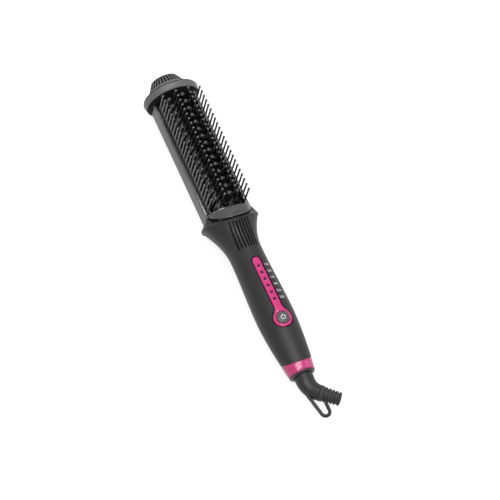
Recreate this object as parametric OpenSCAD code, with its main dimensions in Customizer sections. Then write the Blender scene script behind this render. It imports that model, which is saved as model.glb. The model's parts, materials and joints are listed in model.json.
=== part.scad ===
// Heated steam brush for straightening hair. It lies on its back: +Y runs from the cord end to the tip
// and +Z is the bristle side. Places are measured from the brush's own axis, with y = 0 in the handle's
// throat, and at_axis() moves them so that the origin is under the middle of the brush.

/* [Overall] */
// Height of the brush's axis above the surface it lies on
axis_height = 21; // [20.5:0.25:21.5]
// Clearance on the radius of the pieces that turn or slide
running_gap = 0.1; // [0.05:0.01:0.15]
// Wall of the plastic shells
wall = 2.2; // [2:0.1:2.4]

/* [Handle outline] */
// Where the rim of the handle's collar lies on the axis
rim_y = 28.6; // [28:0.1:29]
// Half width, front depth and back depth of the rim
rim_size = [26.2, 22, 22]; // [21:0.1:27]
// The throat, the slimmest place of the handle
throat_y = -5; // [-7:0.5:-3]
// Half width, front depth and back depth of the throat
throat_size = [14.8, 16.3, 15.2]; // [14:0.1:17]
// The belly, the fullest place of the grip
belly_y = -64; // [-68:1:-60]
// Half width, front depth and back depth of the belly
belly_size = [16.6, 17, 17.4]; // [16:0.1:18]
// End of the tail ring
tail_y = -119.5; // [-121:0.5:-118]
// Radius of the tail
tail_r = 11.4; // [11:0.1:11.8]
// Where the pink ring meets the two shells
shell_end_y = -108; // [-109:0.5:-107]
// Slant of the rim, the amount it drops for each millimetre towards the front
rim_lean = 0.25; // [0.2:0.01:0.28]
// How much further towards the tip the rim lies at its sides
rim_rise = 2.4; // [2:0.1:2.6]
// Exponents of the rim's outline, 2 being round: front half, back half
rim_square = [1.8, 2.8]; // [1.7:0.1:3]
// Slant of the tail ring's upper edge
ring_lean = 0.32; // [0.25:0.01:0.35]

/* [Grip grooves] */
// Number of grooves at the throat's front
groove_count = 7; // [5:2:9]
// Distance between grooves
groove_pitch = 2.8; // [2.4:0.1:3]
// Width of a groove
groove_w = 1.3; // [1:0.1:1.5]
// Depth of a groove
groove_depth = 0.8; // [0.4:0.1:1]

/* [Head] */
// Half width of the heated head
head_half_w = 20.8; // [20.6:0.1:21]
// Radius of the head's back corners
head_corner_r = 14; // [13.5:0.1:14.2]
// Height of the back corners' centres from the axis
head_corner_z = -6; // [-6.2:0.1:-6]
// Lower end of the head, where it stands on the handle
head_low_y = 36.7; // [36.7:0.1:37]
// Upper end of the head, under the tip flange
head_high_y = 156.6; // [156.2:0.1:156.6]
// Back and front edge of the side rails
rail_z = [-7, 5.8]; // [-7:0.1:6]
// Thickness of a side rail
rail_t = 1.9; // [1.8:0.1:1.9]

/* [Pad and pins] */
// Radius of the pad's crowned face
pad_r = 32.7; // [32:0.1:34]
// Height of the crown over the axis
pad_crown_z = 8.4; // [8.2:0.1:8.6]
// Thickness of the pad
pad_t = 2; // [1.8:0.1:2]
// Half width of the pad
pad_half_w = 18.8; // [18.7:0.05:18.8]
// Pins in a row
pin_rows = 23; // [21:1:23]
// Distance between pins in a row
pin_pitch = 4.91; // [4.8:0.01:4.91]
// Place of the first pin
pin_first_y = 42.6; // [42.6:0.1:43]
// Side place of the inner and outer rows of pins
pin_x = [5.8, 17.5]; // [5.6:0.1:17.6]
// Height of the tips of the inner and outer rows
pin_top = [32.4, 28.8]; // [28:0.1:33]
// Radius of a pin at its foot, at its neck and at its ball
pin_r = [1, 0.7, 1.15]; // [0.5:0.05:1.2]

/* [Heated teeth] */
// Teeth in a row
tooth_count = 15; // [13:1:15]
// Distance between teeth in a row
tooth_pitch = 7.4; // [7.2:0.1:7.4]
// Radius of a tooth
tooth_r = 2.1; // [1.9:0.1:2.2]
// Side place of the outer rows of teeth
tooth_x = 11.8; // [11.7:0.1:11.9]
// Height of the tops of the middle row and of the outer rows
tooth_top = [28.2, 25]; // [24:0.1:29]

/* [Tip] */
// Outer end of the tip
tip_y = 182.2; // [182:0.1:182.4]
// Radius of the tip disc's rim
flange_r = 26; // [25.8:0.1:26]
// Place of the disc's middle along the brush
disc_y = 163; // [162.8:0.1:163.2]
// Height of the disc's middle from the axis
disc_z = -1.5; // [-1.6:0.1:-1.4]
// Slant of the disc in degrees, its front towards the cord
disc_tilt = 3; // [2.5:0.5:3.5]
// Radius of the cap's foot and of its flat top
cap_r = [19.7, 11.9]; // [11:0.1:20]
// Number of ribs round the cap
rib_count = 36; // [24:2:40]

/* [Water tank] */
// Radius of the tank's crescent face
face_r = 19.4; // [19.2:0.1:19.4]
// Centre of the crescent face in front of the axis
face_z = 4.6; // [4.4:0.1:4.6]
// Half width of the tank
tank_half_w = 13; // [12.5:0.1:13]
// Lower and upper wall of the tank
tank_y = [27.3, 36.7]; // [27.3:0.1:36.7]
// How far the tank slides out
tank_travel = 26; // [10:1:30]

/* [Panel and button] */
// Half width of the pink strip
strip_half_w = 3.3; // [3:0.1:3.4]
// Upper end of the strip
strip_top_y = -14.3; // [-15:0.1:-14]
// Outer radius of the ring round the button
ring_r = 8; // [7.6:0.1:8.2]
// Place of the button
button_y = -72.9; // [-73.5:0.1:-72]
// Radius of the button
button_r = 5.4; // [5.2:0.1:5.5]
// Number of indicator lights
light_count = 6; // [4:1:6]
// Place of the first indicator light
light_first_y = -22.8; // [-23:0.1:-22.5]
// Distance between indicator lights
light_pitch = 6.48; // [6:0.01:6.5]

/* [Cord neck] */
// Radius of the turning neck
neck_r = 8.15; // [8:0.05:8.2]
// Where the neck's axis meets the axis of the cord boot
elbow_y = -134.3; // [-134.6:0.1:-134]
// Angle between the boot and the neck
boot_angle = 52; // [50:1:54]
// Length from the elbow to the boot's mouth
boot_len = 26.6; // [26.4:0.1:27]
// Radius of the cord's bore
cord_r = 3.3; // [3:0.1:3.4]
// Thickness of the hanging loop's bar
loop_bar = 3; // [2.8:0.1:3.2]

/* [Hidden] */
$fn = 64;

gap = 0.1;                                   // between pieces that are only assembled
far = 60;                                    // past the outside of the brush

// places that several pieces share
disc_top_h = 6;                              // from the middle of the disc, along its own axis
cap_low_h = disc_top_h + gap;
cap_top_h = (tip_y - disc_y - cap_r[1] * sin(disc_tilt)) / cos(disc_tilt);
pad_centre_z = pad_crown_z - pad_r;
pad_low_y = 40.2;
plate_r = pad_r - pad_t - 0.3;
plate_low_z = -2;
tooth_mid_y = 96.6;
carrier_floor_z = [-5.2, -2.7];
evaporator_y = [42.2, 57.8];
wick_z = -5.5;
bay = [tank_half_w + 0.3, tank_y[0] - 0.2, tank_y[1] + 0.3];   // half width, lower wall, upper wall
collar_top_y = 39.8;
lead_x = 16.8;
lead_z = -6.6;
board_z = [4, 5.6];
tip_screw_at = [8, -5.4];
tip_seat_y = 158.9;
carrier_screw_at = [[12.5, 66], [12.5, 138]];
collar_screw_at = [8, 48];
rest_z = -axis_height;
button_top_z = 17.3;
button_skirt_z = 10.4;
plunger_z = [8.3, 9.9];
neck_bore_r = cord_r + 0.9;                  // wide enough that the boot alone grips the cord
// the hanging loop's left leg, and the centre of its bend
loop_from = [-6.2, -127];
loop_to = [0.6, -157];
loop_bend_r = 3.8;
loop_angle = atan2(loop_to[0] - loop_from[0], loop_from[1] - loop_to[1]);
loop_centre = [loop_to[0] + loop_bend_r * cos(loop_angle), loop_to[1] + loop_bend_r * sin(loop_angle)];
loop_low_y = loop_centre[1] - loop_bend_r - loop_bar / 2;
mid_y = (tip_y + loop_low_y) / 2;

// ---- the outline of the handle ----

function ease(t) = t * t * (3 - 2 * t);

// half width (k = 0), front depth (1) or back depth (2) of the handle at y
function along(y, k) =
    y > throat_y
        ? throat_size[k] + (rim_size[k] - throat_size[k]) * pow((y - throat_y) / (rim_y - throat_y), 2.25)
    : y > belly_y
        ? throat_size[k] + (belly_size[k] - throat_size[k]) * ease((throat_y - y) / (throat_y - belly_y))
    : belly_size[k] - (belly_size[k] - tail_r) * pow((belly_y - y) / (belly_y - tail_y), 1.7);

// slant of a cross-section at y
function lean(y) =
    y > throat_y ? rim_lean * pow((y - throat_y) / (rim_y - throat_y), 2)
    : y > belly_y ? 0
    : ring_lean * pow((belly_y - y) / (belly_y - shell_end_y), 2);

// how much further towards the tip the section at y lies at its sides
function side_rise(y) = y > throat_y ? rim_rise * pow((y - throat_y) / (rim_y - throat_y), 2) : 0;

// exponent of the cross-section's front (k = 0) or back half (k = 1): it is round from the throat to the tail
function squareness(y, k = 0) =
    y > throat_y ? 2 + (rim_square[k] - 2) * (y - throat_y) / (rim_y - throat_y) : 2;

function signed_pow(c, e) = sign(c) * pow(abs(c), e);

// a point of the handle's surface at angle q, moved in by inset
function skin(y, q, inset) =
    let (half = sin(q) > 0 ? 0 : 1,
         power = 2 / squareness(y, half),
         x = (along(y, 0) - inset) * signed_pow(cos(q), power),
         z = max(rest_z + inset, (along(y, 1 + half) - inset) * signed_pow(sin(q), power)))
    [x, y - lean(y) * z + side_rise(y) * pow(x / rim_size[0], 2), z];

// height of the front surface over the axis at x
function front_z(x, y) =
    along(y, 1) * pow(1 - pow(abs(x) / along(y, 0), squareness(y)), 1 / squareness(y));

// the two triangles of the four-sided patch a, b, c, d
function patch(a, b, c, d) = [[a, b, c], [a, c, d]];

// a closed solid through loops of points that all have the same number of points
module loft(loops, first_cap, last_cap) {
    n = len(loops[0]);
    points = [for (loop = loops) each loop];
    sides = [for (k = [0:len(loops) - 2], i = [0:n - 1])
        each patch(k * n + i, k * n + (i + 1) % n, (k + 1) * n + (i + 1) % n, (k + 1) * n + i)];
    last = (len(loops) - 1) * n;
    faces = concat(sides, first_cap, [for (t = last_cap) [for (i = t) last + i]]);
    polyhedron(points, [for (f = faces) [f[2], f[1], f[0]]]);
}

// the front half (from angle 0) or back half (from angle 180) of a shell that follows the handle
module half_shell(stations, from_angle, steps = 20) {
    side = [for (i = [0:steps]) from_angle + 180 * i / steps];
    loops = [for (s = stations) concat(
        [for (q = side) skin(s[0], q, s[1])],
        [for (i = [steps:-1:0]) skin(s[0], side[i], s[2])])];
    m = 2 * steps + 1;
    cap = [for (i = [0:steps - 1]) each patch(i, m - i, m - i - 1, i + 1)];
    loft(loops, cap, [for (t = cap) [t[2], t[1], t[0]]]);
}

// a solid that fills the handle between two stations
module core(y0, y1, inset, steps = 24) {
    loops = [for (k = [0:4]) let (y = y1 + (y0 - y1) * k / 4)
        [for (i = [0:2 * steps - 1]) skin(y, 180 * i / steps, inset)]];
    n = 2 * steps;
    fan = [for (i = [1:n - 2]) [0, i + 1, i]];
    loft(loops, fan, [for (t = fan) [t[2], t[1], t[0]]]);
}

// ---- helpers ----

module at_axis() {
    translate([0, -mid_y, axis_height]) children();
}

// turns a shape round Z into one round the brush's axis
module round_axis() {
    rotate([-90, 0, 0]) children();
}

// a cross-section (x, z) drawn out from y0 to y1
module drawn(y0, y1) {
    translate([0, y1, 0]) rotate([90, 0, 0]) linear_extrude(y1 - y0) children();
}

module block(x, y, z) {
    translate([x[0], y[0], z[0]]) cube([x[1] - x[0], y[1] - y[0], z[1] - z[0]]);
}

module both_sides() {
    children();
    mirror([1, 0, 0]) children();
}

// a screw along Z with its head at the bottom, from z0 up
module screw(head_r, head_h, shank_r, shank_h) {
    difference() {
        union() {
            cylinder(r = head_r, h = head_h);
            translate([0, 0, head_h]) cylinder(r = shank_r, h = shank_h);
        }
        for (a = [0, 90]) rotate([0, 0, a]) cube([head_r * 1.3, 0.5, head_h], center = true);
    }
}

// a round wire through a list of points
module wire(route, r) {
    for (i = [0:len(route) - 2]) {
        d = route[i + 1] - route[i];
        translate(route[i]) {
            sphere(r = r * 1.04, $fn = 10);
            rotate([0, acos(d[2] / norm(d)), atan2(d[1], d[0])]) cylinder(r = r, h = norm(d), $fn = 10);
        }
    }
}

// everything on the axis of the cord boot, from the elbow outwards
module on_boot_axis() {
    translate([0, elbow_y, 0]) rotate([0, 90, boot_angle - 90]) children();
}

// ---- tip ----

// everything on the tip disc's own axis, with heights measured from the disc's middle
module on_disc() {
    translate([0, disc_y, disc_z]) rotate([disc_tilt, 0, 0]) round_axis() children();
}

// radius of the cap's cone at height h
function cap_at(h) = cap_r[0] - (cap_r[0] - cap_r[1] - 0.5) * (h - cap_low_h) / (cap_top_h - cap_low_h);

module tip_cap() {
    rib_depth = 0.55;
    rib_gap_w = 1.15;
    rib_h = cap_low_h + 2.6;
    bevel = 0.7;
    spigot_r = [11.6, 13];
    color([0.34, 0.34, 0.35]) at_axis() on_disc() difference() {
        rotate_extrude() {
            difference() {
                polygon([[0, cap_low_h], [cap_r[0], cap_low_h], [cap_at(cap_top_h - bevel),
                    cap_top_h - bevel],
                    [cap_r[1], cap_top_h], [0, cap_top_h]]);
                polygon([[0, cap_low_h - 1], [cap_r[0] - 3, cap_low_h - 1], [cap_r[0] - 3, cap_low_h],
                    [cap_r[1] - wall, cap_top_h - wall], [0, cap_top_h - wall]]);
            }
            translate([spigot_r[0], cap_low_h - 5]) square([spigot_r[1] - spigot_r[0], 6.5]);
            translate([spigot_r[0], cap_low_h]) square([cap_r[0] - 2 - spigot_r[0], 1.5]);
        }
        for (i = [0:rib_count - 1]) rotate([0, 0, 360 * i / rib_count])
            translate([0, rib_gap_w / 2, 0]) rotate([90, 0, 0]) linear_extrude(rib_gap_w)
                polygon([[cap_at(rib_h) + 0.1, rib_h], [cap_at(rib_h + 0.6) - rib_depth, rib_h + 0.6],
                    [cap_at(cap_top_h) - rib_depth, cap_top_h + 1], [cap_r[0] + 1, cap_top_h + 1],
                    [cap_r[0] + 1, rib_h]]);
    }
}

module tip_flange() {
    low_y = head_high_y + gap;
    neck_high_y = 160.5;
    pocket_r = 13.1;
    floor_h = -4.2;
    color([0.47, 0.47, 0.48]) at_axis() difference() {
        union() {
            on_disc() rotate_extrude() polygon([[0, -5.7], [21.2, -5.7], [24.4, -3.4], [25.2, -0.6],
                [25.8, 1.8],
                [flange_r, 2.8], [25.7, 3.5], [20.7, disc_top_h], [0, disc_top_h]]);
            drawn(low_y, neck_high_y) difference() {
                trough_outline(0);
                translate([-far, pad_crown_z - 1]) square(2 * far);
            }
        }
        on_disc() translate([0, 0, floor_h]) cylinder(r = pocket_r, h = far);
        block([-far, far], [low_y - 20, low_y], [-far, far]);
        block([-far, far], [low_y - 20, tip_y], [-far, rest_z]);
        both_sides() translate([tip_screw_at[0], 0, tip_screw_at[1]]) round_axis() {
            translate([0, 0, low_y - 1]) cylinder(r = 1.4, h = 8);
            translate([0, 0, tip_seat_y]) cylinder(r = 2.6, h = 3);
        }
    }
}

module tip_screws() {
    head_h = 1.6;
    color([0.75, 0.75, 0.76]) at_axis() both_sides()
        translate([tip_screw_at[0], tip_seat_y + head_h, tip_screw_at[1]]) rotate([90, 0, 0])
            screw(2.4, head_h, 1.1, 10.8);
}

// ---- head ----

// cross-section of the head's back, moved in by inset
module trough_outline(inset) {
    r = head_corner_r - inset;
    cx = head_half_w - head_corner_r;
    for (s = [-1, 1]) translate([s * cx, head_corner_z]) circle(r = r);
    translate([-cx, head_corner_z - r]) square([2 * cx, r]);
    translate([-cx - r, head_corner_z]) square([2 * (cx + r), far]);
}

module head_back_shell() {
    rib_y = [80, 105, 130];
    rib_t = 1.6;
    rib_depth = 4;
    color([0.47, 0.47, 0.48]) at_axis() difference() {
        union() {
            drawn(head_low_y, head_high_y) difference() {
                trough_outline(0);
                trough_outline(wall);
                translate([-far, rail_z[0]]) square([2 * far, 2 * far]);
            }
            for (y = rib_y) drawn(y, y + rib_t) difference() {
                trough_outline(wall - 0.5);
                trough_outline(wall + rib_depth);
                translate([-far, rail_z[0]]) square([2 * far, 2 * far]);
            }
        }
        both_sides() translate([collar_screw_at[0], collar_screw_at[1], -far]) cylinder(r = 1.3, h = far);
        both_sides() translate([collar_screw_at[0], collar_screw_at[1], -far - 18.7])
            cylinder(r = 2.5, h = far);
    }
}

module rail() {
    bevel = 0.5;
    foot_top_z = 6.8;                        // below the pad's lip the rail reaches up to the tank's face
    x = [head_half_w - rail_t, head_half_w];
    drawn(head_low_y, head_high_y) polygon([[x[0], rail_z[0]], [x[1], rail_z[0]], [x[1], rail_z[1] - bevel],
        [x[1] - bevel, rail_z[1]], [x[0], rail_z[1]]]);
    block(x, [head_low_y, pad_low_y - gap], [rail_z[0], foot_top_z]);
}

module right_rail() {
    color([0.55, 0.55, 0.56]) at_axis() rail();
}

module left_rail() {
    color([0.55, 0.55, 0.56]) at_axis() mirror([1, 0, 0]) rail();
}

// height of the pad's face over the axis at x
function pad_z(x) = pad_centre_z + sqrt(pad_r * pad_r - x * x);

// a four-sided tapered pin with a ball tip, fused to the pad
module pin(x, y, top) {
    foot = pad_z(x) - 0.7;
    ball = pin_r[2];
    translate([x, y, 0]) rotate([0, 0, 45]) rotate_extrude($fn = 4) polygon([[0, foot], [pin_r[0], foot],
        [pin_r[1], top - 2.2 * ball], [ball, top - 1.3 * ball], [ball, top - 0.6 * ball],
        [0.4 * ball, top], [0, top]]);
}

module tooth_places(rows = [-1:1]) {
    for (row = rows, i = [0:tooth_count - 1])
        translate([row * tooth_x, tooth_mid_y + (i - (tooth_count - 1) / 2) * tooth_pitch, 0])
            children();
}

module bristle_pad() {
    window = [5, 5.6];
    steam_window_y = [42.2, 62];
    wall_x = 17.9;                           // a wall along each side of the pad carries a lip
    lip_x = 20.4;                            // that covers the rail's edge
    lip_z = [rail_z[1] + gap, rail_z[1] + 0.7];
    color([0.1, 0.1, 0.11]) at_axis() {
        difference() {
            drawn(pad_low_y, head_high_y) {
                translate([0, pad_centre_z]) intersection() {
                    difference() {
                        circle(r = pad_r, $fn = 180);
                        circle(r = pad_r - pad_t, $fn = 180);
                    }
                    translate([-pad_half_w, 0]) square([2 * pad_half_w, far]);
                }
                for (s = [0, 1]) mirror([s, 0]) {
                    translate([wall_x, 2]) square([pad_half_w - wall_x, lip_z[1] - 2]);
                    translate([wall_x, lip_z[0]]) square([lip_x - wall_x, lip_z[1] - lip_z[0]]);
                }
            }
            tooth_places() translate([-window[0] / 2, -window[1] / 2, -5]) cube([window[0], window[1], 20]);
            for (row = [-1:1]) block([row * tooth_x - window[0] / 2, row * tooth_x + window[0] / 2],
                steam_window_y, [-5, 15]);
        }
        for (s = [-1, 1], k = [0, 1], i = [0:pin_rows - 1])
            pin(s * pin_x[k], pin_first_y + i * pin_pitch, pin_top[k]);
    }
}

module heating_plate() {
    half_w = 17;
    recess = [8.1, 60, 150, 1.5];            // half width, from y, to y, up to z
    color([0.13, 0.13, 0.14]) at_axis() difference() {
        union() {
            drawn(pad_low_y, head_high_y) translate([0, pad_centre_z]) intersection() {
                circle(r = plate_r, $fn = 180);
                translate([-half_w, plate_low_z - pad_centre_z]) square([2 * half_w, far]);
            }
            for (row = [-1:1]) tooth_places([row]) {
                top = tooth_top[abs(row)] - tooth_r;
                cylinder(r = tooth_r, h = top, $fn = 32);
                translate([0, 0, top]) sphere(r = tooth_r, $fn = 32);
            }
        }
        block([-recess[0], recess[0]], [recess[1], recess[2]], [plate_low_z - 1, recess[3]]);
        both_sides() for (p = carrier_screw_at) translate([p[0], p[1], plate_low_z - 1])
            cylinder(r = 1.15, h = 4);
        translate([carrier_screw_at[0][0], 100, plate_low_z - 1]) cylinder(r = 1.3, h = 3);
        for (row = [-1:1], y = [48.5, 55.9]) translate([row * tooth_x, y, plate_low_z - 1])
            cylinder(r = 0.8, h = 15);
    }
}

module heater_carrier() {
    x = [17.1, 18.6];
    opening = [14.3, 41.4, 61.8];            // half width, from y, to y
    color([0.2, 0.17, 0.14]) at_axis() difference() {
        union() {
            block([-x[1], x[1]], [pad_low_y, head_high_y], carrier_floor_z);
            both_sides() block(x, [pad_low_y, head_high_y], [carrier_floor_z[0], 0]);
            block([-13, 13], [142, head_high_y], [-8, carrier_floor_z[1]]);
        }
        block([-opening[0], opening[0]], [opening[1], opening[2]], [-far, far]);
        block([-2.3, 2.3], [pad_low_y - 1, opening[1] + 1], [-far, wick_z + 2.2]);
        both_sides() {
            for (p = carrier_screw_at) translate([p[0], p[1], -far]) cylinder(r = 1.3, h = 2 * far);
            translate([tip_screw_at[0], 145, tip_screw_at[1]]) round_axis() cylinder(r = 1.15, h = 20);
        }
    }
}

module carrier_screws() {
    color([0.75, 0.75, 0.76]) at_axis() both_sides() for (p = carrier_screw_at)
        translate([p[0], p[1], carrier_floor_z[0] - 1.5]) screw(2.2, 1.5, 1.1, 6);
}

module ceramic_heater() {
    color([0.9, 0.9, 0.86]) at_axis() block([-6.5, 6.5], [62, 148], [0.1, 1.5]);
}

module heater_clamp() {
    color([0.8, 0.8, 0.8]) at_axis() block([-8, 8], [62.2, 148.5], [-1.6, 0.1]);
}

module insulation_sheet() {
    color([0.85, 0.8, 0.65]) at_axis() difference() {
        block([-16.8, 16.8], [62, 151], [-2.6, -2.05]);
        both_sides() for (p = carrier_screw_at) translate([p[0], p[1], -5]) cylinder(r = 1.4, h = 5);
        translate([carrier_screw_at[0][0], 100, -5]) cylinder(r = 1.4, h = 5);
    }
}

module thermistor() {
    color([0.15, 0.15, 0.15]) at_axis() translate([carrier_screw_at[0][0], 100, -2.5])
        cylinder(r = 1.2, h = 2.4);
}

module thermal_fuse() {
    r = 1.9;
    color([0.85, 0.85, 0.85]) at_axis() translate([0, 64, carrier_floor_z[0] - r]) round_axis()
        cylinder(r = r, h = 11);
}

module heater_leads() {
    route = [[5, -14, 3.1], [4, -6, 1], [4, 20, -3], [lead_x, 23.6, lead_z], [lead_x, 41, lead_z],
        [15.8, 44, -7], [15.8, 59.4, -7], [9, 60.9, -6.8], [5, 60.9, -3], [5, 60.9, 0.6]];
    color([0.7, 0.1, 0.1]) at_axis() both_sides() wire(route, 0.8);
}

// ---- steam ----

module evaporator() {
    z = [-9, plate_low_z - 0.05];
    color([0.7, 0.7, 0.72]) at_axis() difference() {
        block([-14, 14], evaporator_y, z);
        translate([0, evaporator_y[0] - 1, wick_z]) round_axis() cylinder(r = 2.1, h = 15.8);
        for (y = [48.5, 55.9]) {
            block([-12.8, 12.8], [y - 0.9, y + 0.9], [wick_z - 0.8, wick_z + 0.8]);
            for (row = [-1:1]) translate([row * tooth_x, y, wick_z]) cylinder(r = 0.8, h = 10);
        }
    }
}

module wick() {
    color([0.95, 0.95, 0.9]) at_axis() translate([0, 37.4, wick_z]) round_axis() cylinder(r = 1.95, h = 17.2);
}

module tank_seal() {
    color([0.85, 0.85, 0.8]) at_axis() translate([0, tank_y[1] + 0.15, wick_z]) round_axis() difference() {
        cylinder(r = 3.4, h = 1.4);
        translate([0, 0, -1]) cylinder(r = 2.05, h = 5);
    }
}

// the crescent face: a half disc between two slanted planes
module crescent() {
    back_z = 7.2;
    upper = [41.4, 0.353];                   // y at the axis, and drop for each millimetre forward
    lower = [41.2, 0.74];
    intersection() {
        drawn(15, 45) difference() {
            translate([0, face_z]) circle(r = face_r, $fn = 96);
            translate([-far, -far]) square([2 * far, far + back_z]);
        }
        rotate([90, 0, 90]) translate([0, 0, -face_r]) linear_extrude(2 * face_r)
            polygon([[upper[0] - upper[1] * back_z, back_z], [lower[0] - lower[1] * back_z, back_z],
                [lower[0] - lower[1] * 30, 30], [upper[0] - upper[1] * 30, 30]]);
    }
}

module water_tank() {
    tank_z = [-9, 15];
    tank_wall = 1.2;
    notch = [25.3, 2.6, 2.4];                // y, radius and half length of the thumb notch
    notch_z = face_z + face_r + 0.9;
    color([0.5, 0.5, 0.51]) at_axis() difference() {
        union() {
            block([-tank_half_w, tank_half_w], tank_y, tank_z);
            crescent();
        }
        block([-tank_half_w + tank_wall, tank_half_w - tank_wall],
            [tank_y[0] + tank_wall, tank_y[1] - tank_wall], [tank_z[0] + tank_wall, tank_z[1] - tank_wall]);
        block([-9, 9], [31.5, 34.2], [tank_z[1] - 2, 20.4]);
        translate([0, tank_y[1] - 3, wick_z]) round_axis() cylinder(r = 1.6, h = 6);
        translate([0, 32, tank_z[0] - 1]) cylinder(r = 2.6, h = 4);
        translate([-notch[2], notch[0], notch_z]) rotate([0, 90, 0]) cylinder(r = notch[1], h = 2 * notch[2]);
        for (s = [-1, 1]) translate([s * notch[2], notch[0], notch_z]) sphere(r = notch[1]);
    }
}

module tank_plug() {
    color([0.8, 0.8, 0.78]) at_axis() translate([0, 32, 0]) {
        translate([0, 0, -10.4]) cylinder(r = 3.4, h = 1.35);
        translate([0, 0, -10.4]) cylinder(r = 2.55, h = 4);
    }
}

module head_collar() {
    plate_y = [24.9, bay[1]];
    plate_top_z = -2.7;                      // the shoulder ring slopes down in front of this
    tongue_z = [-17.6, -15.8];
    top_z = 7;
    color([0.25, 0.25, 0.26]) at_axis() difference() {
        union() {
            intersection() {
                core(15, rim_y, wall + 1.8);
                block([-far, far], plate_y, [-far, plate_top_z]);
            }
            block([-14.9, 14.9], [plate_y[1] - 0.5, collar_top_y], [-11.5, top_z]);
            drawn(bay[2], collar_top_y) intersection() {
                trough_outline(wall + gap);
                translate([-far, top_z - 2 * far]) square([2 * far, 2 * far]);
            }
            drawn(bay[2], 56) intersection() {
                trough_outline(wall + gap);
                translate([-12, tongue_z[0]]) square([24, tongue_z[1] - tongue_z[0]]);
            }
        }
        block([-bay[0], bay[0]], [bay[1], bay[2]], [-15.3, far]);
        translate([0, bay[2] - 1, wick_z]) round_axis() cylinder(r = 3.45, h = 2.3);
        translate([0, bay[2] - 1, wick_z]) round_axis() cylinder(r = 2.1, h = 10);
        both_sides() {
            translate([lead_x, 20, lead_z]) round_axis() cylinder(r = 1.1, h = 30);
            translate([collar_screw_at[0], collar_screw_at[1], -far]) cylinder(r = 1.15, h = far + 10);
        }
    }
}

module collar_screws() {
    color([0.75, 0.75, 0.76]) at_axis() both_sides()
        translate([collar_screw_at[0], collar_screw_at[1], -19.9]) screw(2.2, 1.2, 1.1, 2.8);
}

// ---- handle ----

// the head's foot outline at angle q, moved in by inset and down by drop
function foot(q, inset, drop) =
    let (e = 2 / 2.9,
         x = (21.8 - inset) * signed_pow(cos(q), e),
         z = ((sin(q) > 0 ? 14.5 : 20.7) - inset) * signed_pow(sin(q), e),
         y = max(29.3, head_low_y - gap - 1.9 * max(0, z - 6.2)))
    [x, y - drop, z];

function lowered(p, drop) = [p[0], p[1] - drop, p[2]];

module shoulder_ring() {
    n = 48;
    skirt = 2.6;
    inner = wall + 2 * gap;
    angles = [for (i = [0:n - 1]) 360 * i / n];
    loops = [
        [for (q = angles) lowered(foot(q, 12, 0), 0)],
        [for (q = angles) foot(q, 0, 0)],
        [for (q = angles) lowered(skin(rim_y, q, 0.5), -0.02)],
        [for (q = angles) lowered(skin(rim_y, q, inner), -0.02)],
        [for (q = angles) skin(rim_y - skirt, q, inner)],
        [for (q = angles) skin(rim_y - skirt, q, inner + 1.2)],
        [for (q = angles) foot(q, 2, 2)],
        [for (q = angles) foot(q, 12, 2)]];
    color([0.3, 0.3, 0.31]) at_axis() difference() {
        loft(loops, [for (i = [1:n - 2]) [0, i + 1, i]], [for (i = [1:n - 2]) [0, i, i + 1]]);
        block([-15.1, 15.1], [bay[1], 45], [-15.4, far]);
        both_sides() translate([lead_x, 20, lead_z]) round_axis() cylinder(r = 1.1, h = 30);
    }
}

shell_stations = concat(
    [[rim_y, 0.35, wall], [rim_y - 0.8, 0, wall]],
    [for (k = [1:9]) [rim_y - 0.8 - (rim_y - 0.8 - throat_y) * k / 9, 0, wall]],
    [for (k = [1:14]) [throat_y - (throat_y - shell_end_y) * k / 14, 0, wall]]);
handle_screw_at = [[-10.5, 14], [10.5, 14], [0, -90]];
handle_seat_z = [-10, -10, -11];
board_screw_at = [[-7, -17], [7, -58]];

// what lies inside the handle's surface round y
module inside_handle(y) {
    intersection() {
        children();
        core(y - 5, y + 5, 1);
    }
}

// the lollipop outline of the control panel, grown by extra
module panel_outline(extra) {
    w = strip_half_w + extra;
    r = ring_r + extra;
    blend = 7;                               // radius of the fillets where the strip meets the ring
    cx = w + blend;
    cy = sqrt(pow(r + blend, 2) - cx * cx);
    difference() {
        union() {
            translate([0, button_y]) circle(r = r);
            translate([-w, button_y]) square([2 * w, strip_top_y - button_y + extra - w]);
            translate([0, strip_top_y + extra - w]) circle(r = w);
            translate([-cx * r / (r + blend), button_y]) square([2 * cx * r / (r + blend), cy]);
        }
        for (s = [-1, 1]) translate([s * cx, button_y + cy]) circle(r = blend);
    }
}

module handle_front_shell() {
    groove_y = [for (k = [0:12]) -2.4 + 24 * k / 12];
    color([0.29, 0.29, 0.3]) at_axis() difference() {
        union() {
            half_shell(shell_stations, 0);
            for (p = handle_screw_at) inside_handle(p[1]) translate([p[0], p[1], 0.05])
                cylinder(r = 3, h = far);
            for (p = board_screw_at) translate([p[0], p[1], board_z[1]]) cylinder(r = 2, h = 7.6);
        }
        for (k = [0:2]) translate([handle_screw_at[k][0], handle_screw_at[k][1], -1])
            cylinder(r = 1.2, h = 9);
        for (p = board_screw_at) translate([p[0], p[1], 0]) cylinder(r = 1, h = 10.2);
        translate([0, 0, 8]) linear_extrude(20) panel_outline(0.35);
        for (i = [0:groove_count - 1]) {
            x = (i - (groove_count - 1) / 2) * groove_pitch;
            translate([x - groove_w / 2, 0, 0]) rotate([90, 0, 90]) linear_extrude(groove_w) polygon(concat(
                [for (y = groove_y) let (z = front_z(x, y)) [y - lean(y) * z, z - groove_depth]],
                [[groove_y[12] - 1, 40], [groove_y[0], 40]]));
        }
    }
}

module handle_back_shell() {
    color([0.29, 0.29, 0.3]) at_axis() difference() {
        union() {
            half_shell(shell_stations, 180);
            for (p = handle_screw_at) inside_handle(p[1]) translate([p[0], p[1], -far])
                cylinder(r = 3.6, h = far - 0.05);
        }
        for (k = [0:2]) translate([handle_screw_at[k][0], handle_screw_at[k][1], -far]) {
            cylinder(r = 1.4, h = far + 1);
            cylinder(r = 2.5, h = far + handle_seat_z[k]);
        }
    }
}

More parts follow.
